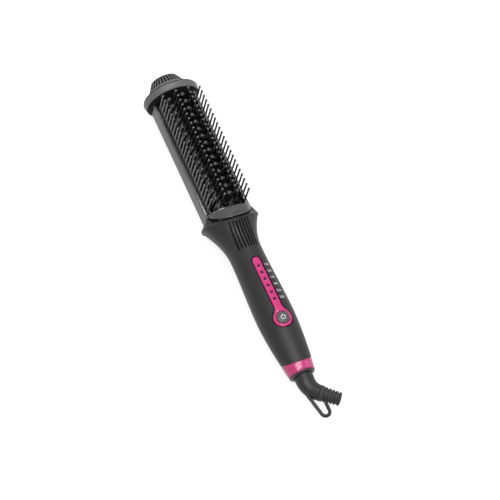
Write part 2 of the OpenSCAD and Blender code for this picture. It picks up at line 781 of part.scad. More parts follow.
module handle_screws() {
    head_h = 1.8;
    color([0.75, 0.75, 0.76]) at_axis() for (k = [0:2])
        translate([handle_screw_at[k][0], handle_screw_at[k][1], handle_seat_z[k] - head_h])
            screw(2.3, head_h, 1.15, 16);
}

module control_panel() {
    stations = [for (k = [0:10]) [strip_top_y + 3 + (button_y - ring_r - 3 - strip_top_y - 3) * k / 10,
        -0.15, 3.2]];
    flange_stations = [for (s = stations) [s[0], wall + 0.05, 3.2]];
    color([0.87, 0.27, 0.55]) at_axis() difference() {
        union() {
            intersection() {
                half_shell(stations, 0);
                translate([0, 0, 5]) linear_extrude(20) panel_outline(0);
            }
            intersection() {
                half_shell(flange_stations, 0);
                translate([0, 0, 5]) linear_extrude(20) panel_outline(1.6);
            }
        }
        translate([0, button_y, 0]) cylinder(r = button_r + 0.25, h = far);
        for (i = [0:light_count - 1]) translate([0, light_first_y - i * light_pitch, 0])
            cylinder(r = 1.1, h = far);
    }
}

module light_guides() {
    bar_z = [8.4, 9.6];
    last_y = light_first_y - (light_count - 1) * light_pitch;
    color([0.25, 0.03, 0.1]) at_axis() {
        block([-1.5, 1.5], [last_y - 2, light_first_y + 2], bar_z);
        for (i = [0:light_count - 1]) {
            y = light_first_y - i * light_pitch;
            translate([0, y, 7]) cylinder(r = 1, h = front_z(0, y) + 0.1 - 7);
        }
    }
}

module indicator_leds() {
    color([0.95, 0.95, 0.8]) at_axis() for (i = [0:light_count - 1])
        translate([-1, light_first_y - i * light_pitch - 0.65, board_z[1]]) cube([2, 1.3, 1.4]);
}

module power_button() {
    skirt_h = 1;
    color([0.35, 0.35, 0.37]) at_axis() translate([0, button_y, 0]) difference() {
        union() {
            rotate_extrude() polygon([[0, button_skirt_z], [button_r + 0.9, button_skirt_z],
                [button_r + 0.9, button_skirt_z + skirt_h], [button_r, button_skirt_z + skirt_h],
                [button_r, button_top_z - 0.8], [button_r - 0.5, button_top_z - 0.3],
                [button_r - 2, button_top_z - 0.05], [0, button_top_z]]);
            translate([0, 0, plunger_z[1]]) cylinder(r = 1.6, h = 1);
        }
        translate([0, 0, button_top_z - 0.3]) difference() {
            cylinder(r = 2.3, h = 2);
            cylinder(r = 1.8, h = 2);
            translate([-0.8, 0, 0]) cube([1.6, 3, 2]);
        }
        translate([-0.25, 0.6, button_top_z - 0.3]) cube([0.5, 2.2, 2]);
    }
}

module switch_plunger() {
    color([0.1, 0.1, 0.1]) at_axis() translate([0, button_y, plunger_z[0]])
        cylinder(r = 1.6, h = plunger_z[1] - plunger_z[0]);
}

module button_switch() {
    half_w = 3.1;
    color([0.6, 0.6, 0.62]) at_axis() difference() {
        block([-half_w, half_w], [button_y - half_w, button_y + half_w], [board_z[1], 9]);
        translate([0, button_y, 7.5]) cylinder(r = 1.6 + running_gap, h = 5);
    }
}

module circuit_board() {
    color([0.1, 0.4, 0.2]) at_axis() difference() {
        block([-10.2, 10.2], [-86, -12], board_z);
        for (p = board_screw_at) translate([p[0], p[1], 0]) cylinder(r = 1.1, h = 10);
    }
}

module board_screws() {
    head_h = 1.4;
    color([0.75, 0.75, 0.76]) at_axis() for (p = board_screw_at)
        translate([p[0], p[1], board_z[0] - head_h]) screw(1.9, head_h, 0.95, 6);
}

module triac() {
    color([0.1, 0.1, 0.1]) at_axis() block([-5, 5], [-32, -27.5], [-6, board_z[0]]);
}

module capacitor() {
    color([0.8, 0.75, 0.2]) at_axis() block([-6.5, 6.5], [-50, -43], [-7, board_z[0]]);
}

module controller_chip() {
    color([0.08, 0.08, 0.08]) at_axis() block([-3.9, 3.9], [-70, -60], [board_z[0] - 1.7, board_z[0]]);
}

module supply_leads() {
    routes = [[[7.4, -95.5, -4.4], [7.4, -90, -3.6], [6.4, -86.4, 0], [5, -83, 3.1]],
        [[5.6, -95.5, -6.6], [5.6, -90, -6], [3.6, -86.2, 0], [2, -83, 3.1]]];
    color([0.1, 0.2, 0.6]) at_axis() for (route = routes) wire(route, 0.8);
}

// ---- tail and cord neck ----

module tail_ring() {
    inner_r = 9.7;
    spigot_r = 10.3;
    slant = atan(ring_lean);
    outline = [for (k = [0:8]) let (y = tail_y + 18 * k / 8) [along(y, 0) + 0.1, y]];
    color([0.87, 0.27, 0.55]) at_axis() union() {
        difference() {
            round_axis() rotate_extrude()
                polygon(concat([[inner_r, tail_y + 18], [inner_r, tail_y]], outline));
            translate([0, shell_end_y - gap, 0]) rotate([slant, 0, 0]) translate([-far / 2, 0, -far / 2])
                cube([far, far, far]);
        }
        round_axis() rotate_extrude() translate([inner_r, tail_y]) square([spigot_r - inner_r, 20]);
    }
}

module tail_cap() {
    bore_r = neck_r + running_gap;
    y = [tail_y - 1.9, tail_y - 0.05];
    color([0.09, 0.09, 0.1]) at_axis() round_axis() rotate_extrude() polygon([[bore_r, y[0]],
        [tail_r - 2.2, y[0]], [tail_r - 1.2, y[0] + 0.35], [tail_r - 0.25, y[0] + 1.2], [tail_r - 0.1, y[1]],
        [9.6, y[1]], [9.6, y[1] + 0.7], [bore_r, y[1] + 0.7]]);
}

module swivel_bush() {
    color([0.85, 0.8, 0.7]) at_axis() round_axis() rotate_extrude() translate([6.25 + running_gap, -114])
        square([9.65 - 6.25 - running_gap, 9.5]);
}

module swivel_neck() {
    spindle_r = 6.25;
    groove_y = [-96.3, -95.2];
    spindle_bore_r = cord_r + 0.1;
    knuckle = [for (k = [0:10]) [neck_r * sin(9 * k), elbow_y + 3 - neck_r * cos(9 * k)]];
    color([0.2, 0.2, 0.21]) at_axis() difference() {
        union() {
            round_axis() rotate_extrude() polygon(concat(knuckle, [[neck_r, -118.5],
                [9.2, -118.5], [9.2, -115], [spindle_r, -115], [spindle_r, groove_y[0]], [5.5, groove_y[0]],
                [5.5, groove_y[1]], [spindle_r, groove_y[1]], [spindle_r, -94.4], [0, -94.4]]));
            on_boot_axis() cylinder(r = 7, h = 8);
        }
        translate([0, elbow_y, 0]) round_axis() cylinder(r = spindle_bore_r, h = 50);
        translate([0, elbow_y, 0]) sphere(r = neck_bore_r + 0.15);
        on_boot_axis() cylinder(r = neck_bore_r, h = 20);
    }
}

module slip_rings() {
    color([0.8, 0.65, 0.3]) at_axis() for (y = [-99, -102.6]) translate([0, y, 0]) round_axis() difference() {
        cylinder(r = 7.1, h = 1.6);
        translate([0, 0, -1]) cylinder(r = 6.3, h = 4);
    }
}

module neck_clip() {
    color([0.7, 0.7, 0.72]) at_axis() translate([0, -96.2, 0]) round_axis() difference() {
        cylinder(r = 7.6, h = 0.9);
        translate([0, 0, -1]) cylinder(r = 5.55, h = 3);
        translate([-3.5, 0, -1]) cube([7, 10, 3]);
    }
}

module contact_springs() {
    blade_z = [-7.65, -7.2];
    color([0.8, 0.65, 0.3]) at_axis() for (y = [-99, -102.6]) block([-4, 3.4], [y, y + 1.6], blade_z);
}

module contact_block() {
    color([0.3, 0.28, 0.25]) at_axis() difference() {
        round_axis() translate([0, 0, -104.2]) cylinder(r = 9.6, h = 7.8);
        round_axis() translate([0, 0, -110]) cylinder(r = 7.75, h = 20);
        block([-far, far], [-110, -90], [-3, far]);
        block([-far, 3.4], [-110, -90], [-far, far]);
    }
}

module strain_relief() {
    rib_first = 12.5;
    rib_pitch = 3;
    rib_w = 1.8;
    core_r = [5.4, 4.6];
    color([0.16, 0.16, 0.17]) at_axis() on_boot_axis() difference() {
        union() {
            translate([0, 0, 8.05]) cylinder(r1 = 7, r2 = 6.6, h = 4);
            translate([0, 0, 12]) cylinder(r1 = core_r[0], r2 = core_r[1], h = boot_len - 12);
            for (i = [0:4]) translate([0, 0, rib_first + i * rib_pitch])
                cylinder(r = 6.4 - 0.15 * i, h = rib_w);
        }
        translate([0, 0, 5]) cylinder(r = cord_r, h = far);
    }
}

module hanging_loop() {
    r = loop_bar / 2;
    sides = 20;
    bend_steps = 10;
    // places along the bar's middle, each with the direction of the bar there
    start_angle = loop_angle - 90;
    bend = [for (k = [0:bend_steps]) let (q = (180 - loop_angle) * k / bend_steps)
        [loop_centre[0] - loop_bend_r * cos(loop_angle + q),
            loop_centre[1] - loop_bend_r * sin(loop_angle + q),
            start_angle + q]];
    right_end = [loop_centre[0] + loop_bend_r, loop_centre[1] + 10, 90];
    path = concat([[loop_from[0], loop_from[1], start_angle]], bend, [right_end]);
    loops = [for (p = path) [for (i = [0:sides - 1]) let (q = 360 * i / sides)
        [p[0] - r * cos(q) * sin(p[2]), p[1] + r * cos(q) * cos(p[2]), r * sin(q)]]];
    fan = [for (i = [1:sides - 2]) [0, i + 1, i]];
    color([0.2, 0.2, 0.21]) at_axis() difference() {
        loft(loops, fan, [for (t = fan) [t[2], t[1], t[0]]]);
        on_boot_axis() cylinder(r = neck_bore_r, h = far);
    }
}

tip_cap();
tip_flange();
tip_screws();
head_back_shell();
left_rail();
right_rail();
bristle_pad();
heating_plate();
heater_carrier();
carrier_screws();
ceramic_heater();
heater_clamp();
insulation_sheet();
thermistor();
thermal_fuse();
heater_leads();
evaporator();
wick();
tank_seal();
water_tank();
tank_plug();
head_collar();
collar_screws();
shoulder_ring();
handle_front_shell();
handle_back_shell();
handle_screws();
control_panel();
light_guides();
indicator_leds();
power_button();
switch_plunger();
button_switch();
circuit_board();
board_screws();
triac();
capacitor();
controller_chip();
supply_leads();
tail_ring();
tail_cap();
swivel_bush();
swivel_neck();
slip_rings();
neck_clip();
contact_springs();
contact_block();
strain_relief();
hanging_loop();
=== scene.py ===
import json
import math
import bmesh
import bpy
from mathutils import Matrix, Vector


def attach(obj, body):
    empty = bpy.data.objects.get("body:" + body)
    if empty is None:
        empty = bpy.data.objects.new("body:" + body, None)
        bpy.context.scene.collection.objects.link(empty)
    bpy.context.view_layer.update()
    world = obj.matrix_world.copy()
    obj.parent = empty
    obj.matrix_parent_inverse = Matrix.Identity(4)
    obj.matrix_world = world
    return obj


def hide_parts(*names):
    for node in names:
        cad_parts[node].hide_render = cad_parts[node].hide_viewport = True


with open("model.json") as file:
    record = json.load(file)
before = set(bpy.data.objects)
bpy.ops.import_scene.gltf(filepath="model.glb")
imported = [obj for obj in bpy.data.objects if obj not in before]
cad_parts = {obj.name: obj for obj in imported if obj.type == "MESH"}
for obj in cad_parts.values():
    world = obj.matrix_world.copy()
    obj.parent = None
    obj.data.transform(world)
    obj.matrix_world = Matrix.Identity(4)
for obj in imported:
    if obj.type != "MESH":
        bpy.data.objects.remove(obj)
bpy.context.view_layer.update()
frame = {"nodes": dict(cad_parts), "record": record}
bpy.ops.object.select_all(action="DESELECT")
print("frame loaded:", len(frame["nodes"]), "CAD nodes")

# Pieces are modelled in millimetres round the brush's own axis (x across, y towards the tip, z towards the
# bristle side) and are then put at their place in the frame.
brushAxis = {"along": -0.01037, "height": 0.021}


def inFrame(x, y, z):
    return Vector((x * 0.001, y * 0.001 + brushAxis["along"], z * 0.001 + brushAxis["height"]))


# camera
camera = {
    "aim": (5.2, 0.0, 0.0),       # the point of the brush in the middle of the picture
    "distance": 1300.0,
    "tilt": 21.5,                 # how far the camera has moved from square-on towards the cord
    "side": 21.0,                 # and round the brush towards its left
    "roll": 25.3,
    "lens": 109.9,
}
tilt, side, roll = (math.radians(camera[k]) for k in ("tilt", "side", "roll"))
back = Vector((-math.sin(side) * math.cos(tilt), -math.sin(tilt), math.cos(side) * math.cos(tilt)))
levelRight = Vector((math.cos(side), 0, math.sin(side)))
levelUp = back.cross(levelRight)
right = math.cos(roll) * levelRight - math.sin(roll) * levelUp
up = math.cos(roll) * levelUp + math.sin(roll) * levelRight
bpy.ops.object.camera_add()
cameraObject = bpy.context.object
cameraObject.name = "camera"
cameraObject.data.lens = camera["lens"]
cameraObject.data.clip_start = 0.05
cameraObject.data.clip_end = 20
turn = Matrix((right, up, back)).transposed()
standpoint = inFrame(*camera["aim"]) + back * camera["distance"] * 0.001
cameraObject.matrix_world = Matrix.Translation(standpoint) @ turn.to_4x4()
bpy.context.scene.camera = cameraObject
print("camera placed")


# shared shader groups
def newGroup(name, sockets):
    group = bpy.data.node_groups.new(name, "ShaderNodeTree")
    for way, label, kind, value in sockets:
        socket = group.interface.new_socket(label, in_out=way, socket_type="NodeSocket" + kind)
        if value is not None:
            socket.default_value = value
    return group, group.nodes.new("NodeGroupInput"), group.nodes.new("NodeGroupOutput")


def noise(tree, vector, scale, detail=3.0, rough=0.5):
    node = tree.nodes.new("ShaderNodeTexNoise")
    node.inputs["Detail"].default_value = detail
    node.inputs["Roughness"].default_value = rough
    tree.links.new(vector, node.inputs["Vector"])
    if isinstance(scale, float):
        node.inputs["Scale"].default_value = scale
    else:
        tree.links.new(scale, node.inputs["Scale"])
    return node.outputs["Fac"]


def math2(tree, operation, a, b):
    node = tree.nodes.new("ShaderNodeMath")
    node.operation = operation
    for socket, value in zip(node.inputs, (a, b)):
        if isinstance(value, (int, float)):
            socket.default_value = value
        else:
            tree.links.new(value, socket)
    return node.outputs[0]


def spread(tree, value, low, high):
    node = tree.nodes.new("ShaderNodeMapRange")
    for label, number in (("From Min", 0.3), ("From Max", 0.7)):
        node.inputs[label].default_value = number
    for label, item in (("Value", value), ("To Min", low), ("To Max", high)):
        if isinstance(item, (int, float)):
            node.inputs[label].default_value = item
        else:
            tree.links.new(item, node.inputs[label])
    return node.outputs["Result"]


# fine spark-eroded grain of a moulded surface: a height for a Bump node
mouldGrain, groupIn, groupOut = newGroup("mouldGrain", [
    ("INPUT", "Vector", "Vector", None), ("INPUT", "Scale", "Float", 2500.0),
    ("OUTPUT", "Height", "Float", None)])
fine = noise(mouldGrain, groupIn.outputs["Vector"], groupIn.outputs["Scale"], 4.0, 0.6)
pits = mouldGrain.nodes.new("ShaderNodeTexVoronoi")
pits.feature = "SMOOTH_F1"
mouldGrain.links.new(groupIn.outputs["Vector"], pits.inputs["Vector"])
mouldGrain.links.new(math2(mouldGrain, "MULTIPLY", groupIn.outputs["Scale"], 0.6), pits.inputs["Scale"])
pitHeight = math2(mouldGrain, "MULTIPLY", pits.outputs["Distance"], 0.5)
mouldGrain.links.new(math2(mouldGrain, "ADD", math2(mouldGrain, "MULTIPLY", fine, 0.6), pitHeight),
                     groupOut.inputs["Height"])

# slow drift of a moulded colour
tintDrift, groupIn, groupOut = newGroup("tintDrift", [
    ("INPUT", "Vector", "Vector", None), ("INPUT", "Colour", "Color", None),
    ("INPUT", "Amount", "Float", 0.08), ("INPUT", "Scale", "Float", 60.0),
    ("OUTPUT", "Colour", "Color", None)])
drift = noise(tintDrift, groupIn.outputs["Vector"], groupIn.outputs["Scale"], 3.0, 0.55)
lift = spread(tintDrift, drift, math2(tintDrift, "SUBTRACT", 1.0, groupIn.outputs["Amount"]),
              math2(tintDrift, "ADD", 1.0, groupIn.outputs["Amount"]))
tinted = tintDrift.nodes.new("ShaderNodeVectorMath")
tinted.operation = "SCALE"
tintDrift.links.new(groupIn.outputs["Colour"], tinted.inputs[0])
tintDrift.links.new(lift, tinted.inputs["Scale"])
tintDrift.links.new(tinted.outputs[0], groupOut.inputs["Colour"])

# faint handling marks: roughness that wanders between two values, with streaks along the brush
handling, groupIn, groupOut = newGroup("handlingMarks", [
    ("INPUT", "Vector", "Vector", None), ("INPUT", "Smooth", "Float", 0.35),
    ("INPUT", "Rough", "Float", 0.5), ("INPUT", "Scale", "Float", 40.0),
    ("OUTPUT", "Roughness", "Float", None)])
stretch = handling.nodes.new("ShaderNodeMapping")
stretch.inputs["Scale"].default_value = (1.0, 0.3, 1.0)
handling.links.new(groupIn.outputs["Vector"], stretch.inputs["Vector"])
broad = noise(handling, stretch.outputs["Vector"], groupIn.outputs["Scale"], 2.0, 0.5)
close = noise(handling, groupIn.outputs["Vector"],
              math2(handling, "MULTIPLY", groupIn.outputs["Scale"], 9.0), 4.0, 0.6)
mixed = math2(handling, "ADD", math2(handling, "MULTIPLY", broad, 0.65),
              math2(handling, "MULTIPLY", close, 0.35))
handling.links.new(spread(handling, mixed, groupIn.outputs["Smooth"], groupIn.outputs["Rough"]),
                   groupOut.inputs["Roughness"])


# finishes
def newFinish(name, colour, smooth=0.35, rough=0.5, drift=0.06, driftScale=60.0, grain=0.0,
              grainScale=2500.0, metal=0.0, specular=0.5, coat=0.0, ior=1.5, marks=40.0):
    material = bpy.data.materials.new(name)
    material.use_nodes = True
    tree = material.node_tree
    shader = tree.nodes["Principled BSDF"]
    place = tree.nodes.new("ShaderNodeTexCoord").outputs["Object"]
    tintNode = tree.nodes.new("ShaderNodeGroup")
    tintNode.node_tree = tintDrift
    tintNode.inputs["Colour"].default_value = (*colour, 1)
    tintNode.inputs["Amount"].default_value = drift
    tintNode.inputs["Scale"].default_value = driftScale
    tree.links.new(place, tintNode.inputs["Vector"])
    tree.links.new(tintNode.outputs["Colour"], shader.inputs["Base Color"])
    marksNode = tree.nodes.new("ShaderNodeGroup")
    marksNode.node_tree = handling
    for label, value in (("Smooth", smooth), ("Rough", rough), ("Scale", marks)):
        marksNode.inputs[label].default_value = value
    tree.links.new(place, marksNode.inputs["Vector"])
    tree.links.new(marksNode.outputs["Roughness"], shader.inputs["Roughness"])
    if grain:
        grainNode = tree.nodes.new("ShaderNodeGroup")
        grainNode.node_tree = mouldGrain
        grainNode.inputs["Scale"].default_value = grainScale
        tree.links.new(place, grainNode.inputs["Vector"])
        bump = tree.nodes.new("ShaderNodeBump")
        bump.inputs["Strength"].default_value = grain
        bump.inputs["Distance"].default_value = 0.0001
        tree.links.new(grainNode.outputs["Height"], bump.inputs["Height"])
        tree.links.new(bump.outputs["Normal"], shader.inputs["Normal"])
    shader.inputs["Metallic"].default_value = metal
    shader.inputs["Specular IOR Level"].default_value = specular
    shader.inputs["IOR"].default_value = ior
    shader.inputs["Coat Weight"].default_value = coat
    shader.inputs["Coat Roughness"].default_value = 0.1
    return material


finishes = {
    "tip_plastic": dict(colour=(0.085, 0.085, 0.088), smooth=0.32, rough=0.48, specular=0.35, grain=0.25),
    "head_plastic": dict(colour=(0.125, 0.125, 0.127), smooth=0.34, rough=0.5, specular=0.38, grain=0.3),
    "rail_plastic": dict(colour=(0.105, 0.105, 0.107), smooth=0.36, rough=0.52, specular=0.35, grain=0.3),
    # a darker copy of the rail plastic for the tank's upturned face: painted shade
    "rail_plastic_painted_shade": dict(colour=(0.065, 0.065, 0.067), smooth=0.26, rough=0.4, specular=0.4, grain=0.2),
    "handle_plastic": dict(colour=(0.022, 0.022, 0.023), smooth=0.36, rough=0.5, specular=0.25, grain=0.35,
                           drift=0.1),
    "pink_plastic": dict(colour=(0.56, 0.022, 0.175), smooth=0.16, rough=0.28, specular=0.4, drift=0.04,
                         coat=0.3),
    "button_plastic": dict(colour=(0.085, 0.085, 0.09), smooth=0.22, rough=0.36, specular=0.35,
                           grain=0.12),
    "light_plastic": dict(colour=(0.035, 0.004, 0.012), smooth=0.12, rough=0.24, drift=0.05),
    "led_plastic": dict(colour=(0.85, 0.84, 0.6), smooth=0.1, rough=0.2, coat=0.6),
    "pin_nylon": dict(colour=(0.003, 0.003, 0.0034), smooth=0.2, rough=0.3, ior=1.9, drift=0.1),
    "heated_coating": dict(colour=(0.004, 0.004, 0.0045), smooth=0.12, rough=0.22, ior=1.6, drift=0.1),
    "heatproof_plastic": dict(colour=(0.04, 0.03, 0.022), smooth=0.45, rough=0.65, grain=0.4),
    "heater_ceramic": dict(colour=(0.82, 0.81, 0.75), smooth=0.3, rough=0.45, grain=0.15),
    "bare_aluminium": dict(colour=(0.78, 0.78, 0.79), smooth=0.28, rough=0.45, metal=1.0, marks=120.0),
    "insulation": dict(colour=(0.6, 0.52, 0.32), smooth=0.5, rough=0.75, drift=0.2, driftScale=300.0),
    "red_wire": dict(colour=(0.45, 0.02, 0.02), smooth=0.3, rough=0.45),
    "blue_wire": dict(colour=(0.02, 0.05, 0.35), smooth=0.3, rough=0.45),
    "wick_felt": dict(colour=(0.85, 0.84, 0.78), smooth=0.85, rough=1.0, grain=0.9, grainScale=1500.0),
    "seal_rubber": dict(colour=(0.5, 0.48, 0.43), smooth=0.45, rough=0.6, grain=0.2),
    "black_plastic": dict(colour=(0.012, 0.012, 0.013), smooth=0.3, rough=0.45, grain=0.25),
    # near-black finish: painted shade in the grooves of the handle, the rim line of the tip flange and the
    # cap's ribs; the flange's underside gets it too
    "near_black_and_painted_shade": dict(colour=(0.004, 0.004, 0.0045), smooth=0.7, rough=0.85, specular=0.15),
    "screw_steel": dict(colour=(0.62, 0.62, 0.63), smooth=0.22, rough=0.4, metal=1.0, marks=300.0),
    "switch_metal": dict(colour=(0.55, 0.55, 0.56), smooth=0.25, rough=0.4, metal=1.0, marks=200.0),
    "clip_steel": dict(colour=(0.5, 0.5, 0.52), smooth=0.25, rough=0.42, metal=1.0, marks=200.0),
    "board_laminate": dict(colour=(0.02, 0.16, 0.05), smooth=0.25, rough=0.4, drift=0.12, driftScale=900.0),
    "capacitor_plastic": dict(colour=(0.6, 0.45, 0.02), smooth=0.2, rough=0.35),
    "bush_plastic": dict(colour=(0.68, 0.6, 0.45), smooth=0.35, rough=0.5),
    "neck_plastic": dict(colour=(0.02, 0.02, 0.021), smooth=0.3, rough=0.46, specular=0.28, grain=0.25),
    "contact_brass": dict(colour=(0.75, 0.52, 0.18), smooth=0.25, rough=0.42, metal=1.0, marks=200.0),
    "boot_rubber": dict(colour=(0.03, 0.03, 0.031), smooth=0.42, rough=0.6, specular=0.35, grain=0.3),
    "print_white": dict(colour=(0.9, 0.9, 0.91), smooth=0.4, rough=0.55, drift=0.03),
}
materials = {name: newFinish(name, **settings) for name, settings in finishes.items()}
nodeSlots = {part["node"]: part["material_slot"] for part in frame["record"]["subparts"]}
for node, item in frame["nodes"].items():
    for place in item.material_slots:
        place.material = materials[nodeSlots[node]]
print("finishes made:", len(materials))


# modelling helpers
def editing(obj):
    bpy.ops.object.select_all(action="DESELECT")
    bpy.context.view_layer.objects.active = obj
    obj.select_set(True)
    bpy.ops.object.mode_set(mode="EDIT")
    bpy.ops.mesh.select_mode(type="VERT")


def doneEditing():
    bpy.ops.object.mode_set(mode="OBJECT")
    return bpy.context.object


def named(name):
    obj = bpy.context.object
    obj.name = name
    obj.data.name = name
    return obj


# a line of points drawn by extruding one vertex, closed and filled if wanted
def traced(name, points, filled=False):
    points = [Vector(p) for p in points]
    bpy.ops.mesh.primitive_plane_add(size=1)
    obj = named(name)
    editing(obj)
    bpy.ops.mesh.merge(type="CENTER")
    bpy.ops.transform.translate(value=points[0])
    for a, b in zip(points, points[1:]):
        bpy.ops.mesh.extrude_vertices_move(TRANSFORM_OT_translate={"value": b - a})
    if filled:
        bpy.ops.mesh.select_all(action="SELECT")
        bpy.ops.mesh.edge_face_add()
    doneEditing()
    return obj


# an outline of (radius, height) points spun round the brush's axis
def spun(name, outline, steps=96):
    obj = traced(name, [(r, y, 0) for r, y in outline])
    editing(obj)
    bpy.ops.mesh.select_all(action="SELECT")
    bpy.ops.mesh.spin(steps=steps, angle=2 * math.pi, center=(0, 0, 0), axis=(0, 1, 0))
    bpy.ops.mesh.select_all(action="SELECT")
    bpy.ops.mesh.remove_doubles(threshold=0.001)
    bpy.ops.mesh.normals_make_consistent(inside=False)
    return doneEditing()


# a grid whose every point is placed by a rule of how far across and along it lies, from 0 to 1
def sheeted(name, across, along, rule, closed=False):
    bpy.ops.mesh.primitive_grid_add(x_subdivisions=across, y_subdivisions=along, size=2)
    obj = named(name)
    for v in obj.data.vertices:
        v.co = Vector(rule((v.co.x + 1) / 2, (v.co.y + 1) / 2))
    if closed:
        editing(obj)
        bpy.ops.mesh.select_all(action="SELECT")
        bpy.ops.mesh.remove_doubles(threshold=0.001)
        bpy.ops.mesh.normals_make_consistent(inside=False)
        doneEditing()
    return obj


# every open edge loop gets a face of its own
def endsClosed(obj):
    editing(obj)
    bpy.ops.mesh.select_all(action="SELECT")
    bpy.ops.mesh.fill_holes(sides=0)
    bpy.ops.mesh.select_all(action="SELECT")
    bpy.ops.mesh.normals_make_consistent(inside=False)
    return doneEditing()


# an outline filled and drawn out along a direction
def drawnOut(name, points, way):
    obj = traced(name, points, filled=True)
    editing(obj)
    bpy.ops.mesh.select_all(action="SELECT")
    bpy.ops.mesh.extrude_region_move(TRANSFORM_OT_translate={"value": way})
    bpy.ops.mesh.select_all(action="SELECT")
    bpy.ops.mesh.normals_make_consistent(inside=False)
    return doneEditing()


def applied(obj, kind, **settings):
    bpy.ops.object.select_all(action="DESELECT")
    bpy.context.view_layer.objects.active = obj
    obj.select_set(True)
    modifier = obj.modifiers.new(kind.lower(), kind)
    for label, value in settings.items():
        setattr(modifier, label, value)
    bpy.ops.object.modifier_apply(modifier=modifier.name)
    return obj


def cutBy(obj, *cutters):
    for cutter in cutters:
        applied(obj, "BOOLEAN", object=cutter, operation="DIFFERENCE", solver="EXACT")
        bpy.data.objects.remove(cutter)
    return obj


def rounded(obj, width, segments=3, angle=30):
    applied(obj, "BEVEL", width=width, segments=segments, limit_method="ANGLE",
            angle_limit=math.radians(angle), miter_outer="MITER_ARC", use_clamp_overlap=True)
    editing(obj)
    bpy.ops.mesh.select_all(action="SELECT")
    bpy.ops.mesh.remove_doubles(threshold=0.0005)
    return doneEditing()


# a plane cuts the piece, and the side that the plane's arrow points to is thrown away
def sliced(obj, point, arrow):
    editing(obj)
    bpy.ops.mesh.select_all(action="SELECT")
    bpy.ops.mesh.bisect(plane_co=point, plane_no=arrow, use_fill=True, clear_outer=True)
    return doneEditing()


def joined(name, parts):
    bpy.ops.object.select_all(action="DESELECT")
    for part in parts:
        part.select_set(True)
    bpy.context.view_layer.objects.active = parts[0]
    bpy.ops.object.join()
    return named(name)


# the finished piece goes to its place in the frame, gets its finish and rides on its body
def settled(obj, slot, body, replaces=(), angle=35, finish=None):
    bpy.ops.object.select_all(action="DESELECT")
    bpy.context.view_layer.objects.active = obj
    obj.select_set(True)
    obj.scale = (0.001, 0.001, 0.001)
    obj.location = (0, brushAxis["along"], brushAxis["height"])
    bpy.ops.object.transform_apply(location=True, rotation=True, scale=True)
    bpy.ops.object.shade_smooth_by_angle(angle=math.radians(angle))
    if not obj.data.materials:
        obj.data.materials.append(materials[finish or slot])
    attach(obj, body)
    if replaces:
        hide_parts(*replaces)
    return obj


# the handle's outline
handle = {
    "rimY": 28.6, "throatY": -5.0, "bellyY": -64.0, "tailY": -119.5, "endY": -108.0,
    "rim": (26.2, 22.0, 22.0), "throat": (14.8, 16.3, 15.2), "belly": (16.6, 17.0, 17.4), "tailR": 11.4,
    "rimLean": 0.25, "rimRise": 2.4, "ringLean": 0.32, "rest": -21.0, "wall": 2.2,
    "square": (1.8, 2.8),
}


def along(y, k):
    h = handle
    if y > h["throatY"]:
        t = (y - h["throatY"]) / (h["rimY"] - h["throatY"])
        return h["throat"][k] + (h["rim"][k] - h["throat"][k]) * t ** 2.25
    if y > h["bellyY"]:
        t = (h["throatY"] - y) / (h["throatY"] - h["bellyY"])
        return h["throat"][k] + (h["belly"][k] - h["throat"][k]) * t * t * (3 - 2 * t)
    t = (h["bellyY"] - y) / (h["bellyY"] - h["tailY"])
    return h["belly"][k] - (h["belly"][k] - h["tailR"]) * t ** 1.7


def lean(y):
    h = handle
    if y > h["throatY"]:
        return h["rimLean"] * ((y - h["throatY"]) / (h["rimY"] - h["throatY"])) ** 2
    return 0 if y > h["bellyY"] else h["ringLean"] * ((h["bellyY"] - y) / (h["bellyY"] - h["endY"])) ** 2


# from 0 at the throat to 1 at the rim
def flare(y):
    return max(0, (y - handle["throatY"]) / (handle["rimY"] - handle["throatY"]))


# the exponent of the cross-section's front or back half
def squareness(y, front=True):
    return 2 + (handle["square"][0 if front else 1] - 2) * flare(y)


# how much further towards the tip a section lies at its sides
def sideRise(x, y):
    return handle["rimRise"] * flare(y) ** 2 * (x / handle["rim"][0]) ** 2


def signedPower(c, e):
    return math.copysign(abs(c) ** e, c)


def skin(y, angle, inset=0.0):
    c, s = math.cos(angle), math.sin(angle)
    if abs(s) < 1e-9:
        s = 0.0
    n = 2 / squareness(y, s > 0)
    x = (along(y, 0) - inset) * signedPower(c, n)
    z = max(handle["rest"] + inset, (along(y, 1 if s > 0 else 2) - inset) * signedPower(s, n))
    return (x, y - lean(y) * z + sideRise(x, y), z)


# height of the front surface over a point of its plan
def frontHeight(x, planY):
    y, z = planY, 0.0
    for _ in range(5):
        n = squareness(y)
        z = along(y, 1) * max(0.0, 1 - (abs(x) / along(y, 0)) ** n) ** (1 / n)
        y = planY + lean(y) * z - sideRise(x, y)
    return z


# a flat piece is cut into cells and laid on the front surface
def draped(obj, stepX, stepY):
    editing(obj)
    lo = [min(v.co[k] for v in obj.data.vertices) for k in (0, 1)]
    hi = [max(v.co[k] for v in obj.data.vertices) for k in (0, 1)]
    for k, step in ((0, stepX), (1, stepY)):
        arrow = (1, 0, 0) if k == 0 else (0, 1, 0)
        for i in range(1, int((hi[k] - lo[k]) / step) + 1):
            place = [0, 0, 0]
            place[k] = lo[k] + i * step
            bpy.ops.mesh.select_all(action="SELECT")
            bpy.ops.mesh.bisect(plane_co=place, plane_no=arrow)
    doneEditing()
    for v in obj.data.vertices:
        v.co.z += frontHeight(v.co.x, v.co.y)
    return obj


# handle shells
shell = {"across": 60, "flank": 26, "along": 110, "grooves": 7, "groovePitch": 2.8, "grooveDepth": 1.2,
         "grooveFrom": -3.2, "grooveTo": 22.4, "grooveEnd": 1.3, "panelGap": 1.1}
# a groove's section: how far from its middle, and how deep there as a share of its depth
grooveSection = ((-1.05, 0), (-0.82, 0), (-0.74, 0.4), (-0.6, 0.95), (0, 1),
                 (0.6, 0.95), (0.74, 0.4), (0.82, 0), (1.05, 0))


